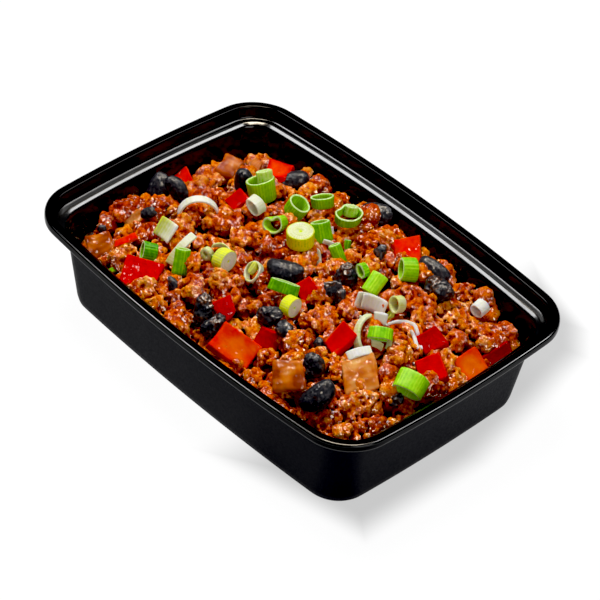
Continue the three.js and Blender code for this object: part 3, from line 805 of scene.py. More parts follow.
def heap_heights(field, tree):
    """A map from above of how high the CAD heap stands."""
    x, y = np.meshgrid(field.axes[0], field.axes[1], indexing="ij")
    top = np.full(x.shape, NO_HEAP)
    for i, j in np.ndindex(x.shape):
        hit = tree.ray_cast(Vector((x[i, j], y[i, j], 200)), Vector((0, 0, -1)))[0]
        if hit is not None:
            top[i, j] = hit.z
    return top


def place_clumps():
    """Middles and radii of the clumps of meat, which lie under the heap's surface with hollows between."""

    def shows(points, normals):
        return (points[:, 2] > HEAP_LOW + 4) & (normals[:, 2] > -0.2)

    seats, normals = scattered_on("chili_heap", CLUMP_SPACING, shows, rng)
    kept = noise(seats, 13.0, seed=5) > CLUMP_GAPS
    seats, normals = seats[kept], normals[kept]
    radii = rng.uniform(*CLUMP_RADIUS, len(seats))
    sink = np.where(rng.random(len(seats)) < SUNK_SHARE, SUNK_BY, 0.0)
    return seats - normals * (radii * 0.8 + sink)[:, None], radii


def clump_granules(centre, radius):
    """Granules all round a clump, and their radii."""
    count = int(4 * math.pi * radius**2 / GRANULE_AREA)
    way = unit(rng.normal(size=(count, 3)))
    squash = rng.uniform(0.75, 1.1, 3)
    spread = rng.uniform(0.68, 1.0, (count, 1))
    places = centre + way * squash * radius * spread
    small, large = GRANULE_RADIUS
    sizes = (small + (large - small) * rng.random(count) ** 2) * rng.uniform(0.8, 1.15)
    return places + 1.1 * wander(places, 5.5, 61), sizes


def stands_proud(point, size, tree, toppings):
    """Whether a granule rises too far out of the CAD heap, above all beside a topping."""
    spot, normal, _, gap = tree.find_nearest(point)
    outside = (point - spot).dot(normal) > 0
    beside = toppings.find_nearest(point, size + BESIDE)[0] is not None
    rise = (gap if outside else -gap) + size * (1.0 if beside else 0.6)
    return rise > (PROUD_BESIDE if beside else PROUD)


def grow_meat():
    """The grid that the meat is grown on, the heap's heights, and the granules with the clump of each."""
    tree = surface_tree([NODES["chili_heap"].data])
    low, high = (np.array(v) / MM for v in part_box("chili_heap"))
    field = Field((low[0] - 2, low[1] - 2, HEAP_LOW - 1.5), (high[0] + 2, high[1] + 2, high[2] + 3), VOXEL)
    top = heap_heights(field, tree)
    centres, radii = place_clumps()
    clumps = [clump_granules(centre, radius) for centre, radius in zip(centres, radii)]
    granules = np.vstack([places for places, _ in clumps])
    sizes = np.concatenate([own for _, own in clumps])
    owners = np.repeat(np.arange(len(clumps)), [len(places) for places, _ in clumps])
    buried = granules[:, 2] < np.maximum(field.sample(top, granules) - 8, HEAP_LOW + 1)
    toppings = topping_tree()
    kept = np.array([
        not hidden and not stands_proud(Vector(place), size, tree, toppings)
        for hidden, place, size in zip(buried, granules, sizes)
    ])
    granules, sizes, owners = granules[kept], sizes[kept], owners[kept]
    for centre, radius in zip(centres, radii):
        field.add_ball(centre, radius * CLUMP_CORE)
    for centre, size in zip(granules, sizes):
        field.add_ball(centre, size)
    return field, top, granules, owners


def heap_distance(field, top):
    """Signed distances to the meat: granules over a core, cut off at the tray's wall and at the foot."""
    x, y, z = np.meshgrid(*field.axes, indexing="ij", sparse=True)
    core = (z - (top - CORE_DROP)[:, :, None]) * 0.7
    distance = np.minimum(field.distance(), core)
    distance = np.maximum(distance, -(wall_distance(x, y, z) - WALL_GAP))
    distance = np.maximum(distance, HEAP_LOW - z)
    band = np.nonzero(np.abs(distance) < 2.5 * VOXEL)
    spots = np.column_stack([axis[index] for axis, index in zip(field.axes, band)])
    distance[band] += 0.52 * noise(spots, 2.1, seed=21, octaves=2)
    return distance


def largest_part(points, faces):
    """The points and faces of the largest connected part."""
    label = np.arange(len(points))
    while True:
        smaller = label.copy()
        lowest = label[faces].min(axis=1)
        for corner in faces.T:
            np.minimum.at(smaller, corner, lowest)
        smaller = smaller[smaller]
        if np.array_equal(smaller, label):
            break
        label = smaller
    names, sizes = np.unique(label, return_counts=True)
    main = label == names[np.argmax(sizes)]
    renumbered = np.cumsum(main) - 1
    return points[main], renumbered[faces[main[faces[:, 0]]]]


def build_heap():
    field, top, granules, owners = grow_meat()
    distance = heap_distance(field, top)
    grid = openvdb.FloatGrid(3 * VOXEL)
    grid.copyFromArray(np.clip(distance, -3 * VOXEL, 3 * VOXEL).astype(np.float64))
    points, quads = grid.convertToQuads(0.0)
    points, quads = largest_part(points.astype(float) * VOXEL + field.low, quads[:, ::-1])
    heap = new_piece("minced_meat_heap", points, quads, meat_material())
    if 2 * len(quads) > HEAP_TRIANGLES:
        fewer = heap.modifiers.new("fewer", "DECIMATE")
        fewer.ratio = HEAP_TRIANGLES / (2 * len(quads))
        apply_modifiers(heap)
        heap.data.shade_smooth()
    colour_heap(heap.data, field, distance, top, granules, owners)
    draw_down(heap.data)
    joins_part(heap, "minced_meat", "chili_heap")
    return heap


def colour_heap(mesh, field, distance, top, granules, owners):
    """Each clump has its own tone; painted shade darkens the hollows and painted light brightens what stands
    out.
    """
    points = mesh_points(mesh)
    tree = kdtree.KDTree(len(granules))
    for i, p in enumerate(granules):
        tree.insert(p, i)
    tree.balance()
    nearest = np.array([tree.find(p)[1] for p in points])
    clump_tone = rng.uniform(*CLUMP_TONES, owners.max() + 1)
    granule_tone = rng.normal(0, GRANULE_TONES, len(granules))
    solid = (distance < 0).astype(np.float32)
    wide = field.sample(box_blur(solid, max(2, round(WIDE_HOLLOW / VOXEL))), points)
    close = field.sample(box_blur(solid, max(1, round(CLOSE_HOLLOW / VOXEL))), points)
    sunk = field.sample(top, points) - points[:, 2]
    # The tone is darker in tight hollows and paler where the meat stands out: painted shade and painted
    # light.
    tone = clump_tone[owners[nearest]] + granule_tone[nearest] + 1.6 * (0.5 - close)
    # Depth for the painted shade: in wide and tight hollows, and where the meat lies low under the heap's
    # top.
    depth = 2.5 * (wide - 0.46) + 0.9 * (close - 0.5) + smoothstep(2.5, 8.0, sunk) * 0.45
    give_values(mesh, "tone", np.clip(tone, 0, 1))
    give_values(mesh, "depth", np.clip(depth, 0, 1))


def draw_down(mesh):
    """Stretches the foot of the heap down to the tray's floor, inside the sloping walls."""
    points = mesh_points(mesh)
    share = np.clip((HEAP_LOW + FOOT - points[:, 2]) / FOOT, 0, 1)
    points[:, 2] += share * (FLOOR + FOOT_GAP - HEAP_LOW)
    points[:, :2] *= 1 - np.outer(share, FOOT_NARROWER)
    move_points(mesh, points)


def icosahedron():
    golden = (1 + math.sqrt(5)) / 2
    pairs = [(s, t * golden) for s in (-1, 1) for t in (-1, 1)]
    points = unit([np.roll((0, s, t), -k) for k in range(3) for s, t in pairs])
    near = np.linalg.norm(points[:, None] - points, axis=2) < 1.1
    faces = []
    for i, j, k in itertools.combinations(range(len(points)), 3):
        if near[i, j] and near[j, k] and near[i, k]:
            inward = np.cross(points[j] - points[i], points[k] - points[i]) @ points[i] < 0
            faces.append((i, k, j) if inward else (i, j, k))
    return points, np.array(faces)


def random_turns(count, generator):
    """Rotation matrices, from random quaternions."""
    w, x, y, z = unit(generator.normal(size=(count, 4))).T
    rows = [
        (1 - 2 * (y * y + z * z), 2 * (x * y - z * w), 2 * (x * z + y * w)),
        (2 * (x * y + z * w), 1 - 2 * (x * x + z * z), 2 * (y * z - x * w)),
        (2 * (x * z - y * w), 2 * (y * z + x * w), 1 - 2 * (x * x + y * y)),
    ]
    return np.moveaxis(np.array(rows), 2, 0)


def loose_shapes(size, generator):
    """The points of small rough balls, turned all ways, and one ball's faces."""
    ball, faces = icosahedron()
    shape = ball * generator.uniform(0.6, 1.3, (len(size), 1, 3))
    shape *= generator.uniform(0.75, 1.2, (len(size), len(ball), 1)) * size[:, None, None]
    return np.einsum("nij,nkj->nki", random_turns(len(size), generator), shape), faces


def loose_seats(mesh, depth, generator):
    """Places on the meat and clear of toppings, a corner of the triangle at each, and the granules' radii."""
    corners = triangle_corners(mesh)
    triangles = mesh_points(mesh)[corners]
    facing, areas = triangle_sides(triangles)
    share = areas * (triangles.mean(1)[:, 2] > HEAP_LOW + 6) * np.clip(facing[:, 2] + 0.25, 0, 1)
    chosen = generator.choice(len(areas), LOOSE_COUNT, p=share / share.sum())
    seats = random_places(triangles, chosen, generator)
    corner = corners[chosen, 0]
    size = generator.uniform(*LOOSE_RADIUS, LOOSE_COUNT)
    toppings = topping_tree()
    kept = np.array([toppings.find_nearest(Vector(p), r + 0.4)[0] is None for p, r in zip(seats, size)])
    kept &= generator.random(LOOSE_COUNT) > depth[corner] * 1.2
    return seats[kept], corner[kept], size[kept]


def build_loose(heap):
    """Loose granules of meat that lie on the heap."""
    generator = np.random.default_rng(LOOSE_SEED)
    mesh = heap.data
    tone, depth = read_values(mesh, "tone"), read_values(mesh, "depth")
    seats, corner, size = loose_seats(mesh, depth, generator)
    shape, ball_faces = loose_shapes(size, generator)
    each = shape.shape[1]
    middles = seats + vertex_vectors(mesh, "normal")[corner] * (size * 0.35)[:, None]
    places = middles[:, None] + shape
    faces = ball_faces + each * np.arange(len(size))[:, None, None]
    loose = new_piece("minced_meat_granules", places.reshape(-1, 3), faces.reshape(-1, 3), mesh.materials[0])
    tones = np.clip(tone[corner] + generator.normal(0.08, 0.16, len(size)), 0, 1)
    give_values(loose.data, "tone", np.repeat(tones, each))
    # The granules take less of the painted shade of the hollow under them, as they stand out.
    give_values(loose.data, "depth", np.repeat(depth[corner] * 0.4, each))
    joins_part(loose, "minced_meat")


# ================ toppings
class Local:
    """Where a drawn-out CAD node lies: x along the way it was drawn, y across it and z towards its bulge."""

    def __init__(self, name):
        triangles, self.normals, areas = node_faces(name)
        self.x = self.drawn_way(self.normals, areas)
        points = triangles.reshape(-1, 3)
        across = unit(np.cross(self.x, (0.3, 0.5, 0.8)))
        above = np.cross(self.x, across)
        flat = np.column_stack([points @ across, points @ above])
        spread = np.repeat(areas, 3)[:, None]
        middle = (flat * spread).sum(0) / spread.sum()
        longest = np.linalg.eigh(np.cov((flat - middle).T, aweights=spread[:, 0]))[1][:, 1]
        self.y = longest[0] * across + longest[1] * above
        self.z = np.cross(self.x, self.y)
        local = points @ np.column_stack([self.x, self.y, self.z])
        low, high = local.min(0), local.max(0)
        self.size = high - low
        self.centre = (low + high) / 2 @ np.stack([self.x, self.y, self.z])
        aside = np.abs(local[:, 1] - (high[1] + low[1]) / 2) / (self.size[1] / 2)
        if local[aside < 0.35, 2].mean() < local[aside > 0.65, 2].mean():
            self.y, self.z = -self.y, -self.z
        self.points = self.measured(points - self.centre)
        self.middles = self.measured(triangles.mean(1) - self.centre)

    @staticmethod
    def drawn_way(normals, areas):
        """The normal that the most area is either square to or along."""

        def agreeing(n):
            tilt = np.abs(normals @ n)
            return areas[(tilt < 0.03) | (tilt > 0.998)].sum()

        return unit(max(np.unique(np.round(normals, 3), axis=0).tolist(), key=agreeing))

    def measured(self, vectors):
        """Vectors of the row's frame, along this one's axes."""
        return vectors @ np.column_stack([self.x, self.y, self.z])

    def place(self, local):
        """Points in the row's frame, from points that are measured from the piece's middle."""
        return self.centre + local @ np.stack([self.x, self.y, self.z])


RING_POINTS = 120
SKIN_STEPS = 9


def oval_rim(wide, narrow, fold, fold_at, generator, wobble):
    """The angle of each point of a tube's outline, the outline and its outward normals."""
    angle = np.linspace(0, 2 * math.pi, RING_POINTS, endpoint=False)
    from_fold = np.angle(np.exp(1j * (angle - fold_at)))
    factor = 1 - fold * np.exp(-((from_fold / 0.5) ** 2))
    for k in (2, 3, 5):
        factor += wobble / k * np.cos(k * angle + generator.uniform(0, 2 * math.pi))
    rim = np.column_stack([wide / 2 * factor * np.cos(angle), narrow / 2 * factor * np.sin(angle)])
    along = np.roll(rim, -1, axis=0) - np.roll(rim, 1, axis=0)
    return angle, rim, unit(np.column_stack([along[:, 1], -along[:, 0]]))


def tube_mesh(length, wide, narrow, wall, generator, fold=0.0, fold_at=0.0, ribs=12, tilt=0.08):
    """Points, faces, side and rib of a slice of hollow leaf, ribbed outside and rounded at its cuts."""
    angle, rim, normal = oval_rim(wide, narrow, fold, fold_at, generator, 0.0589)
    phase = generator.uniform(0, 2 * math.pi)
    rib = waves(ribs * angle + phase + 0.8 * np.sin(3 * angle))
    rib *= 0.6 + 0.4 * np.cos(5 * angle + 2 * phase)
    thick = wall * (1 + 0.12 * np.cos(2 * angle + phase))
    edge = min(0.28, wall / 3)
    half = length / 2
    near_end = half - 0.3 * edge
    # Rows of place along the tube, depth in its wall and side: up the skin, over a cut, down inside and back.
    profile = [(s, 0.0, 0) for s in np.linspace(-half + edge, half - edge, SKIN_STEPS)]
    over = [(near_end, 0.1, 0.6), (half, 0.3, 1), (half + 0.05, 0.5, 1), (half, 0.7, 1), (near_end, 0.9, 1.4)]
    profile += over
    profile += [(s, 1.0, 2) for s in np.linspace(half - edge, -half + edge, SKIN_STEPS - 3)]
    profile += [(-s, depth, part) for s, depth, part in reversed(over)]
    lean = generator.uniform(-tilt, tilt, 2)
    rings = []
    for s, depth, _ in profile:
        inward = depth * thick - 0.11 * (rib - 0.5) * (1 - depth)
        ring = rim - normal * inward[:, None]
        flare = 1 + 0.03 * (s / half) * math.copysign(1, lean[0])
        along = s * (1 + lean[0] * ring[:, 0] / wide + lean[1] * ring[:, 1] / narrow)
        rings.append(np.column_stack([along, ring * flare]))
    side = np.repeat([float(part) for _, _, part in profile], RING_POINTS)
    return np.vstack(rings), ring_grid(len(profile), RING_POINTS), side, np.tile(rib, len(profile))


def disc_mesh(length, wide, narrow, layers, generator):
    """Points, faces, depth in and rib of a slice of solid stem, whose layers show at both cuts."""
    angle, rim, normal = oval_rim(wide, narrow, 0, 0, generator, 0.03366)
    rib = waves(26 * angle + 0.8 * np.sin(3 * angle))
    half = length / 2
    shares = np.linspace(1.0, 0.1, 5 * layers)
    grooves = 0.07 * np.cos(shares * layers * 2 * math.pi) - 0.9 * np.exp(-((shares / 0.17) ** 2))
    cut = [(half + g + 0.25 * (1 - s), s * 0.97) for s, g in zip(shares, grooves)]
    skin = [(s, 1.0) for s in np.linspace(-half + 0.25, half - 0.25, SKIN_STEPS)]
    profile = [(-s, r) for s, r in reversed(cut)] + skin + cut
    rings = []
    for s, share in profile:
        ring = rim * share + normal * (0.1 * (rib[:, None] - 0.5) if share == 1 else 0)
        rings.append(np.column_stack([np.full(RING_POINTS, s), ring]))
    rows = len(profile)
    faces = ring_grid(rows, RING_POINTS, closed_rows=False).tolist() + end_faces(rows, RING_POINTS)
    depth = np.repeat([1 - share for _, share in profile], RING_POINTS)
    return np.vstack(rings), faces, depth, np.tile(rib, rows)


def cube_grid(*steps):
    """Points and quads of a cube's surface, from -1 to 1, with so many steps each way."""
    numbers = {}
    faces = []
    for axis in range(3):
        u, v = (axis + 1) % 3, (axis + 2) % 3
        for i, j, end in np.ndindex(steps[u], steps[v], 2):
            quad = []
            for du, dv in ((0, 0), (1, 0), (1, 1), (0, 1)):
                key = [0, 0, 0]
                key[axis], key[u], key[v] = end * steps[axis], i + du, j + dv
                quad.append(numbers.setdefault(tuple(key), len(numbers)))
            faces.append(quad if end else quad[::-1])
    return 2 * np.array(list(numbers)) / steps - 1, faces


def slab_mesh(length, chord, height, thick, steps, generator, rounding, uneven=0.08):
    """Points, faces and cube points of a slab along `length` whose arc over `chord` rises by `height`."""
    cube, faces = cube_grid(*steps)
    sizes = np.array([length, chord, thick]) / 2
    body = cube * sizes
    inner = np.maximum(sizes - rounding, 0.02)
    held = np.clip(body, -inner, inner)
    rest = body - held
    distance = np.linalg.norm(rest, axis=1, keepdims=True)
    body = held + rest / np.maximum(distance, 1e-9) * np.minimum(distance, rounding)
    rise = max(height - thick, 0.05)
    radius = (chord**2 / 4 + rise**2) / (2 * rise)
    half_angle = math.asin(min(chord / 2 / radius, 1.0))
    if rise > chord / 2:
        half_angle = math.pi - half_angle
    angle = body[:, 1] / (chord / 2) * half_angle
    arm = radius + body[:, 2]
    skew, taper, twist = generator.uniform(-uneven, uneven, 3)
    x = body[:, 0] * (1 + taper * cube[:, 1]) + skew * length * cube[:, 1] / 2
    y = arm * np.sin(angle) * (1 + taper * cube[:, 0]) + skew * chord * cube[:, 0] / 2
    z = arm * np.cos(angle) - radius + rise / 2 + twist * thick * cube[:, 0] * cube[:, 1]
    return np.column_stack([x, y, z]), faces, cube


def inside_tray(points, gap=0.5):
    """The points, with those beyond the tray's inner wall drawn in to it."""
    x, y, z = points.T

    def room(x, y):
        return wall_distance(x, y, z) - gap

    slope = np.column_stack([room(x + 0.1, y) - room(x - 0.1, y), room(x, y + 0.1) - room(x, y - 0.1)])
    steepness = np.maximum(np.linalg.norm(slope, axis=1, keepdims=True), 1e-9)
    drawn = points.copy()
    drawn[:, :2] -= np.minimum(room(x, y), 0)[:, None] * slope / steepness
    return drawn


def joined(parts):
    """One part from several: points, faces and the values of each attribute."""
    points, faces, data = [], [], {}
    start = 0
    for part, part_faces, values in parts:
        faces += [[start + i for i in face] for face in part_faces]
        points.append(part)
        start += len(part)
        for key, value in values.items():
            data.setdefault(key, []).append(np.broadcast_to(value, len(part)))
    return np.vstack(points), faces, {key: np.concatenate(value) for key, value in data.items()}


def add_topping(name, parts, material, slot, node=None):
    """One piece from parts in the row's frame, kept inside the tray."""
    points, faces, data = joined(parts)
    piece = new_piece(name, inside_tray(points), faces, material)
    for key, values in data.items():
        give_values(piece.data, key, values)
    joins_part(piece, slot, node)


def numbered_nodes(kind, first=1):
    """The CAD nodes of a kind, each with its number."""
    return enumerate(sorted(name for name in NODES if name.startswith(kind)), first)


GREEN_WALL = 1.1
PALE_WALL = 0.9
# What is told of single rings, by the end of their names.
FOLDS = {"green_04": 0.3, "green_06": 0.5, "green_09": 0.4}
RING_TONES = {
    "green_01": 0.14, "green_02": 0.06, "green_04": 0.02, "green_05": 0.0, "green_07": -0.3,
    "green_08": -0.04, "green_09": -0.15, "green_12": 0.24, "green_15": 0.2,
    "pale_01": 0.22, "pale_02": 0.38, "pale_03": 0.5, "pale_04": 0.04,
}
STALK_TONES = {"green_01": 0.6, "green_04": 0.55, "pale_02": 0.7}
STALK_REACH = 1.4  # a tube and its stalk together are this much longer than the tube
STALK_SUNK = 0.8  # the stalk starts this far inside the tube's far end


def fold_way(local):
    """The angle of the point where a tube's outside comes nearest to its middle."""
    square = np.abs(local.normals @ local.x) < 0.1
    flat = local.middles[:, 1:]
    outside = square & ((flat * local.measured(local.normals)[:, 1:]).sum(1) > 0)
    share = np.linalg.norm(flat / local.size[1:], axis=1)
    share[~outside] = 1e9
    y, z = flat[np.argmin(share)] / local.size[1:]
    return math.atan2(z, y)


def split_stalk(local):
    """The ends of a tube along its axis, and the end, middle and size of the stalk that stands out of it."""
    x, y, z = local.points.T
    low, high = x.min(), x.max()
    total = high - low
    over, under = x > high - 0.2 * total, x < low + 0.2 * total
    up = np.ptp(y[over]) + np.ptp(z[over]) < np.ptp(y[under]) + np.ptp(z[under])
    stalk = over if up else under
    tube = (low, low + total / STALK_REACH) if up else (high - total / STALK_REACH, high)
    middle = (y[stalk].max() + y[stalk].min()) / 2, (z[stalk].max() + z[stalk].min()) / 2
    return tube, high if up else low, middle, (np.ptp(y[stalk]), np.ptp(z[stalk]))


def tube_part(local, number, mesh, along, tone):
    """A tube that is moved along a piece's axes, with its tone."""
    points, faces, side, rib = mesh
    points = points + along
    tone = tone + 0.07 * noise(points + 30 * number, 5.0, seed=51)
    return local.place(points), faces, {"side": side, "rib": rib, "tone": tone}


def build_rings(material, kind, slot, wall):
    for number, node in numbered_nodes(kind, 0):
        ring = node.removeprefix("spring_onion_")
        generator = np.random.default_rng(RING_SEED + number)
        local = Local(node)
        length, wide, narrow = local.size
        shift = 0.0
        parts = []
        if ring in STALK_TONES:
            (low, high), end, middle, (broad, deep) = split_stalk(local)
            length, shift = high - low, (high + low) / 2
            start = low + STALK_SUNK if end > high else high - STALK_SUNK
            deep *= 0.6
            stalk = tube_mesh(abs(end - start), broad * 1.1, deep, deep * 0.45, generator, tilt=0.04)
            along = ((start + end) / 2, *middle)
            parts.append(tube_part(local, number, stalk, along, STALK_TONES[ring]))
        fold = FOLDS.get(ring, 0.0)
        fold_at = fold_way(local) if fold else 0.0
        ribs = max(14, round((wide + narrow) * 1.25))
        tube = tube_mesh(length, wide, narrow, wall, generator, fold, fold_at, ribs)
        tone = RING_TONES.get(ring, generator.uniform(-0.04, 0.14))
        parts.append(tube_part(local, number, tube, (shift, 0, 0), tone))
        add_topping(node + "_slice", parts, material, slot, node)


DISC_TONES = [(0.38, 0.86), (0.2, 0.74), (0.25, 0.8)]  # of each disc's cut and of its skin
DISC_LAYERS = 4


def build_discs(material):
    for number, node in numbered_nodes("spring_onion_white", 0):
        generator = np.random.default_rng(DISC_SEED + number)
        local = Local(node)
        points, faces, depth, rib = disc_mesh(*local.size, DISC_LAYERS, generator)
        layer = np.exp(-((np.mod(depth * DISC_LAYERS + 0.5, 1.0) - 0.5) ** 2) / 0.01)
        cut, skin = DISC_TONES[number]
        tone = cut + 0.08 * layer * (depth < 0.85) + 0.12 * noise(points, 4.0, seed=number)
        tone = np.where(depth < 0.1, skin - 2.5 * depth, tone)
        tone = np.where(depth > 0.86, 0.95, tone)
        parts = [(local.place(points), faces, {"tone": tone, "rib": rib})]
        add_topping(node + "_slice", parts, material, "spring_onion_white", node)


# Each strip's thickness, its tone, how much greener one end is than the other, and how many layers it has.
STRIPS = {
    1: (1.1, 0.08, 0.0, 1), 2: (1.1, 0.38, 0.7, 1), 3: (1.1, 0.3, 0.3, 1),
    4: (1.0, 0.02, 0.0, 2), 5: (1.6, 0.42, 0.2, 1), 6: (1.1, 0.04, 0.0, 1),
}
LAYER_STEP = np.array((0.12, 0.1, -0.3))  # each further layer lies this share along, across and down
LAYER_LOSS = np.array((0.12, 0.2, 0.15))  # and is smaller by this share


def build_strips(material):
    for number, node in numbered_nodes("spring_onion_strip"):
        generator = np.random.default_rng(STRIP_SEED + number)
        local = Local(node)
        thick, base, greener, layers = STRIPS[number]
        parts = []
        for layer in range(layers):
            length, chord, height = local.size * (1 - LAYER_LOSS * layer)
            steps, rounding = (10, 48, 4), thick * 0.4
            points, faces, cube = slab_mesh(length, chord, height, thick, steps, generator, rounding, 0.05)
            rib = waves(cube[:, 1] * chord * 2.2)
            points[:, 2] += 0.05 * rib * np.sign(cube[:, 2])
            points += LAYER_STEP * layer * local.size
            tone = base + 0.5 * greener * cube[:, 1] + 0.16 * noise(points, 5.0, seed=number)
            parts.append((local.place(points), faces, {"tone": tone, "rib": rib}))
        add_topping(node + "_piece", parts, material, "spring_onion_white", node)


PEPPER_TONES = {  # from crimson at 0 to orange at 1
    1: 0.6, 2: 0.5, 3: 0.35, 4: 0.78, 5: 0.15, 6: 0.5, 7: 0.75, 8: 0.15, 9: 0.45, 10: 0.9, 11: 0.0, 12: 0.4,
}
FLESHY_PEPPERS = (2, 4, 10)  # these turn their flesh to the camera, and the rest their skin
ONION_TONES = {1: 0.18, 2: -0.12, 3: -0.23, 4: -0.15}


def build_slabs(kind, tones, fleshy, material, thick, rounding, relief, warp):
    """Chunks of a vegetable: `relief` is how far faces roll, and `warp` how far outlines wander."""
    for number, node in numbered_nodes(kind):
        generator = np.random.default_rng(SLAB_SEED + number)
        local = Local(node)
        length, chord, height = local.size
        thick_here = min(thick, height * 0.9)
        points, faces, cube = slab_mesh(length, chord, height, thick_here, (30, 26, 8), generator, rounding)
        seed = points + number * 50
        points += relief * noise(seed, 5.5, seed=31, octaves=2)[:, None] * (0.4 + cube * 0.6)
        points += 0.5 * relief * noise(seed, 1.8, seed=33)[:, None] * cube
        points[:, :2] += warp * wander(seed, 8.0, 36)[:, :2]
        up = np.sign(local.z @ BACK) * cube[:, 2]
        edge = np.abs(cube[:, :2]).max(1)
        if number in fleshy:
            ragged = edge + 0.3 * noise(seed, 4.0, seed=35)
            side = smoothstep(-0.2, 0.6, up) * (1 - smoothstep(0.3, 0.95, ragged))
        else:
            side = np.maximum(0.5 * smoothstep(0.93, 1.0, edge), smoothstep(0.0, 0.8, -up))
        rib = waves(cube[:, 1] * chord * 1.2 + 1.6 * noise(seed, 5.0, seed=number))
        parts = [(local.place(points), faces, {"side": side, "rib": rib, "tone": tones[number]})]
        add_topping(node + "_piece", parts, material, kind, node)


ROUGH_BEANS = {8: 0.9, 9: 0.7, 10: 0.6, 11: 0.7, 12: 0.6, 14: 0.8}  # share of each one's skin under sauce
BEAN_GROWTH = 1.1  # makes up for what subdividing takes off


def build_beans(material):
    for number, node in numbered_nodes("black_bean"):
        bean = add_object(node + "_skin", NODES[node].data.copy())
        bean.modifiers.new("weld", "WELD").merge_threshold = 0.02 * MM
        subdivide(bean, 3)
        points, normals = mesh_points(bean.data), vertex_vectors(bean.data, "normal")
        middle = points.mean(0)
        points = middle + (points - middle) * BEAN_GROWTH
        rough = ROUGH_BEANS.get(number, 0.0)
        long_way = np.linalg.eigh(np.cov((points - middle).T))[1][:, 2]
        pressed = points - np.outer((points - middle) @ long_way, long_way) * 0.6
        seed = points + number * 30
        wrinkle = noise(pressed + number * 30, 2.2, seed=41, octaves=2)
        lump = noise(seed, 4.5, seed=42)
        granule = np.maximum(noise(seed, 1.9, seed=43, octaves=2), -0.2)
        height = 0.16 * wrinkle + 0.25 * lump * (0.4 + rough) + rough * granule
        points += normals * height[:, None]
        crust = 0.5 * rough + 0.5 * noise(points + number * 30, 3.5, seed=44, octaves=2)
        move_points(bean.data, points)
        give_values(bean.data, "crust", np.clip(crust, 0, 1))
        bean.data.materials.clear()
        bean.data.materials.append(material)
        bean.data.shade_smooth()
        joins_part(bean, "black_bean", node)


# ================ scraps
# What is too small for a node of its own lies where the photo shows it.  Each row says where in the picture,
# the size, which way the piece was drawn out and which way across, its tone, and how far it stands out of the
# meat.  A way is an angle in the picture and an angle towards the camera, in degrees.
SCRAP_RINGS = [  # size: length, wide, narrow, wall
    ((207, 254), (3.0, 6.8, 6.2, 2.2), (205, 50), (290, 0), 0.5, 1.6),
    ((390, 316), (2.6, 4.2, 3.0, 0.9), (150, 40), (60, 0), 0.72, 3.4),
]
SCRAP_GREENS = [
    ((113.5, 270), (2.2, 4.0, 2.0, 0.8), (-75, 20), (-12, 0), 0.1, 1.2),
    ((212, 258), (3.2, 4.4, 1.6, 0.7), (75, 20), (-20, 0), 0.0, 1.0),
    ((347, 246), (6.0, 3.2, 1.4, 0.6), (80, 15), (-10, 0), -0.05, 1.2),
]
SCRAP_STRIPS = [  # size: across, chord, rise, thick
    ((222, 247), (2.6, 9.0, 3.0, 0.9), (75, 50), (-15, 0), 0.45, 1.6),
    ((317.5, 263), (3.8, 15.5, 2.6, 0.9), (8, 20), (-80, 10), 0.34, 1.4),
    ((380.5, 318), (5.4, 5.6, 2.2, 1.3), (80, 20), (-10, 10), 0.0, 2.4),
    ((372, 294), (3.6, 6.5, 2.6, 1.0), (60, 35), (-30, 0), 0.0, 3.0),
    ((359.5, 327), (3.0, 10.0, 2.4, 0.9), (-20, 30), (-105, 0), 0.3, 1.4),
    ((377, 345), (3.6, 5.6, 1.6, 0.9), (70, 30), (-10, 0), 0.4, 1.6),
    ((388.5, 343), (2.6, 6.0, 2.0, 0.8), (-20, 30), (-70, 0), 0.46, 2.0),
    ((328, 243), (2.6, 5.0, 1.5, 0.9), (70, 30), (-25, 0), 0.06, 1.4),
    ((332, 231.5), (2.0, 4.6, 1.3, 0.8), (0, 30), (-80, 0), 0.08, 1.4),
    ((168, 232), (2.6, 9.0, 2.2, 0.9), (-30, 40), (60, 0), 0.7, 3.0),
]
SHREDS = [  # points of the picture that a white shred runs through
    [(386, 325), (396, 321.5), (407, 322), (415, 325), (418, 334), (419, 342), (422, 349)],
    [(411, 330), (414, 336), (416, 343), (418, 349)],
]
SHRED_WIDTH, SHRED_THICKNESS, SHRED_LIFT = 1.9, 0.8, 1.3
SHRED_SIDES = 8
SHRED_TONE = 0.02
SCRAP_PEPPERS = [
    ((225, 309), (9.5, 8.5, 4.6, 4.0), (-60, 10), (30, -10), 0.15, 0.4),
    ((308, 289), (9.5, 9.0, 4.6, 4.0), (35, 10), (125, -10), 0.4, 0.4),
    ((126, 240.5), (3.4, 10.5, 3.4, 2.6), (-70, 20), (20, 0), 0.7, 1.0),
]
SCRAP_ONIONS = [
    ((134, 220), (9.5, 7.5, 4.6, 3.6), (30, 5), (-60, 10), 0.0, -0.2),
    ((256, 165), (6.5, 6.0, 4.0, 3.0), (-30, 5), (60, -5), 0.0, -0.2),
]
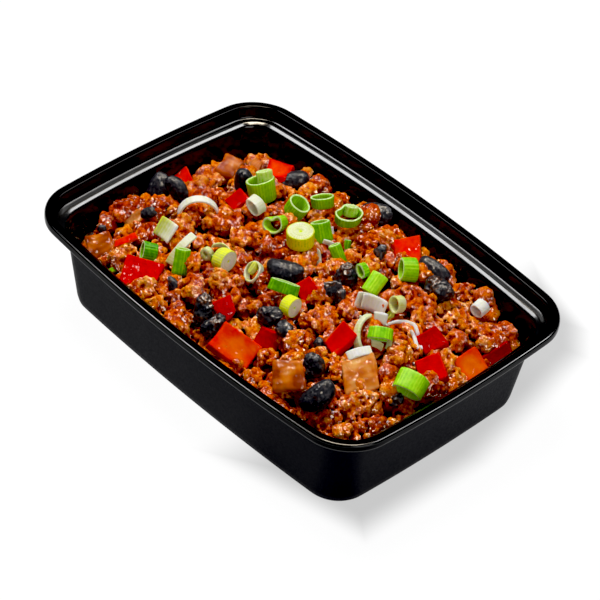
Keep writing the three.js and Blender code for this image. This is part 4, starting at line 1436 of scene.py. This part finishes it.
SCRAP_BEANS = [  # size: long, wide, thick; and the share under sauce in place of a tone
    ((285, 330), (9.5, 8.0, 6.0), (-60, 10), (30, 0), 0.75, 0.0),
    ((379, 254), (9.0, 6.0, 4.0), (60, 10), (-30, 0), 0.9, 0.2),
    ((328, 290), (13.0, 7.0, 3.4), (20, 10), (110, 0), 0.85, 0.4),
    ((340, 297), (8.0, 5.0, 3.4), (60, 10), (150, 0), 0.7, 0.2),
    ((90, 238), (6.5, 5.0, 4.0), (60, 10), (-30, 0), 0.8, 0.2),
    ((175, 286), (10.5, 5.0, 3.4), (-55, 10), (35, 0), 0.6, 0.2),
    ((149, 213), (8.5, 6.0, 4.6), (20, 10), (110, 0), 0.3, 1.0),
    ((102, 229), (4.6, 3.6, 3.0), (0, 10), (90, 0), 0.5, 0.4),
    ((445, 296), (9.5, 6.5, 4.0), (40, 10), (130, 0), 0.9, 0.4),
    ((318, 345), (8.0, 5.0, 3.6), (80, 10), (170, 0), 0.8, 0.2),
    ((396, 400), (8.0, 6.0, 4.0), (10, 10), (100, 0), 0.9, 0.0),
]


def screen_way(angle, forward):
    """A way in the row's frame, from an angle in the picture and one towards the camera."""
    angle, forward = math.radians(angle), math.radians(forward)
    flat = math.cos(angle) * RIGHT + math.sin(angle) * UP
    return math.cos(forward) * flat + math.sin(forward) * BACK


def meat_under(tree, at, lift):
    """The place on the meat that a point of the picture shows, drawn out towards the camera by `lift`."""
    ray = unit((at[0] - PICTURE / 2) * RIGHT - (at[1] - PICTURE / 2) * UP - CAMERA_FOCUS * BACK)
    hit = tree.ray_cast(Vector(CAMERA_AT), Vector(ray))[0]
    if hit is None:
        hit = tree.find_nearest(Vector(CAMERA_AT + ray * CAMERA_DISTANCE))[0]
    return np.array(hit) - ray * lift


def laid(points, tree, at, way, wide, lift):
    """A scrap's points, turned and moved to where the picture shows it."""
    x, across = screen_way(*way), screen_way(*wide)
    y = unit(across - x * (across @ x))
    return meat_under(tree, at, lift) + points @ np.stack([x, y, np.cross(x, y)])


def tube_scrap(number, size, tone):
    generator = np.random.default_rng(TUBE_SCRAP_SEED + number)
    points, faces, side, rib = tube_mesh(*size, generator)
    return points, faces, {"side": side, "rib": rib, "tone": tone}


def slab_scrap(number, size, tone, rounding, wobble, steps=(14, 14, 5)):
    generator = np.random.default_rng(SLAB_SCRAP_SEED + number)
    points, faces, cube = slab_mesh(*size, steps, generator, rounding * size[3], 0.15)
    points += wobble * wander(points + 40 * number, 4.0, 71)
    rib = waves(cube[:, 0] * size[0] * 2.4)
    side = (np.abs(cube[:, :2]).max(1) > 0.95).astype(float)
    return points, faces, {"side": side, "rib": rib, "tone": tone}


def bean_scrap(number, size, rough):
    ball, faces = cube_grid(14, 14, 14)
    ball = unit(ball)
    points = ball * (np.array(size) / 2)
    seed = points + 30 * number
    granule = np.maximum(noise(seed, 1.9, seed=43, octaves=2), -0.2)
    points += ball * (0.5 * noise(seed, 3.5, seed=42) + rough * 0.8 * granule)[:, None]
    points[:, 2] += 0.24 * points[:, 1] ** 2 / size[1]
    crust = 0.5 * rough + 0.5 * noise(seed, 3.0, seed=44, octaves=2)
    return points, faces, {"crust": np.clip(crust, 0, 1)}


def scraps(tree, rows, shape, **looks):
    """Parts that lie on the meat where the picture shows them."""
    for number, (at, size, way, wide, tone, lift) in enumerate(rows):
        points, faces, data = shape(number, size, tone, **looks)
        yield laid(points, tree, at, way, wide, lift), faces, data


def shred_mesh(tree, places):
    """A narrow band that lies on the meat along points of the picture."""
    line = np.array([meat_under(tree, at, SHRED_LIFT) for at in places])
    steps = np.linspace(0, len(line) - 1, 8 * len(line))
    path = np.column_stack([np.interp(steps, np.arange(len(line)), line[:, k]) for k in range(3)])
    for _ in range(6):
        path[1:-1] = (path[:-2] + path[1:-1] + path[2:]) / 3
    along = unit(np.gradient(path, axis=0))
    across = unit(np.cross(along, BACK))
    above = np.cross(across, along)
    taper = SHRED_WIDTH / 2 * np.sin(math.pi * np.linspace(0.12, 0.9, len(path)))[:, None] ** 0.5
    rings = []
    for turn in -np.linspace(0, 2 * math.pi, SHRED_SIDES, endpoint=False):
        rise = math.sin(turn) * SHRED_THICKNESS / 2 * (1 if math.sin(turn) > 0 else 0.6)
        rings.append(path + across * taper * math.cos(turn) + above * rise)
    points = np.stack(rings, 1).reshape(-1, 3)
    faces = ring_grid(len(path), SHRED_SIDES, closed_rows=False).tolist() + end_faces(len(path), SHRED_SIDES)
    return points, faces, {"side": 0.0, "rib": 0.5, "tone": SHRED_TONE}


def build_scraps(heap, green, white, bean, pepper, onion):
    tree = surface_tree([heap.data])
    pale = [*scraps(tree, SCRAP_RINGS, tube_scrap)]
    pale += scraps(tree, SCRAP_STRIPS, slab_scrap, steps=(8, 24, 3), rounding=0.4, wobble=0.25)
    pale += [shred_mesh(tree, places) for places in SHREDS]
    greens = scraps(tree, SCRAP_GREENS, tube_scrap)
    beans = scraps(tree, SCRAP_BEANS, bean_scrap)
    peppers = scraps(tree, SCRAP_PEPPERS, slab_scrap, rounding=0.12, wobble=0.5)
    onions = scraps(tree, SCRAP_ONIONS, slab_scrap, rounding=0.25, wobble=0.9)
    add_topping("spring_onion_pale_scraps", pale, white, "spring_onion_white")
    add_topping("spring_onion_green_scraps", greens, green, "spring_onion_green")
    add_topping("black_bean_scraps", beans, bean, "black_bean")
    add_topping("red_pepper_scraps", peppers, pepper, "red_pepper")
    add_topping("onion_scraps", onions, onion, "onion")


# ================ the whole
add_camera()
add_stage()
add_lights()
build_tray()
heap = build_heap()
build_loose(heap)
green = onion_green_material()
white = onion_white_material()
bean = bean_material()
pepper = pepper_material()
onion = cooked_onion_material()
build_rings(green, "spring_onion_green", "spring_onion_green", GREEN_WALL)
build_rings(white, "spring_onion_pale", "spring_onion_white", PALE_WALL)
build_discs(white)
build_strips(white)
build_beans(bean)
chunk = {"thick": 5.0, "rounding": 0.55, "relief": 0.12, "warp": 0.45}
build_slabs("red_pepper", PEPPER_TONES, FLESHY_PEPPERS, pepper, **chunk)
leaf = {"thick": 4.0, "rounding": 1.5, "relief": 0.35, "warp": 1.0}
build_slabs("onion", ONION_TONES, (), onion, **leaf)
build_scraps(heap, green, white, bean, pepper, onion)
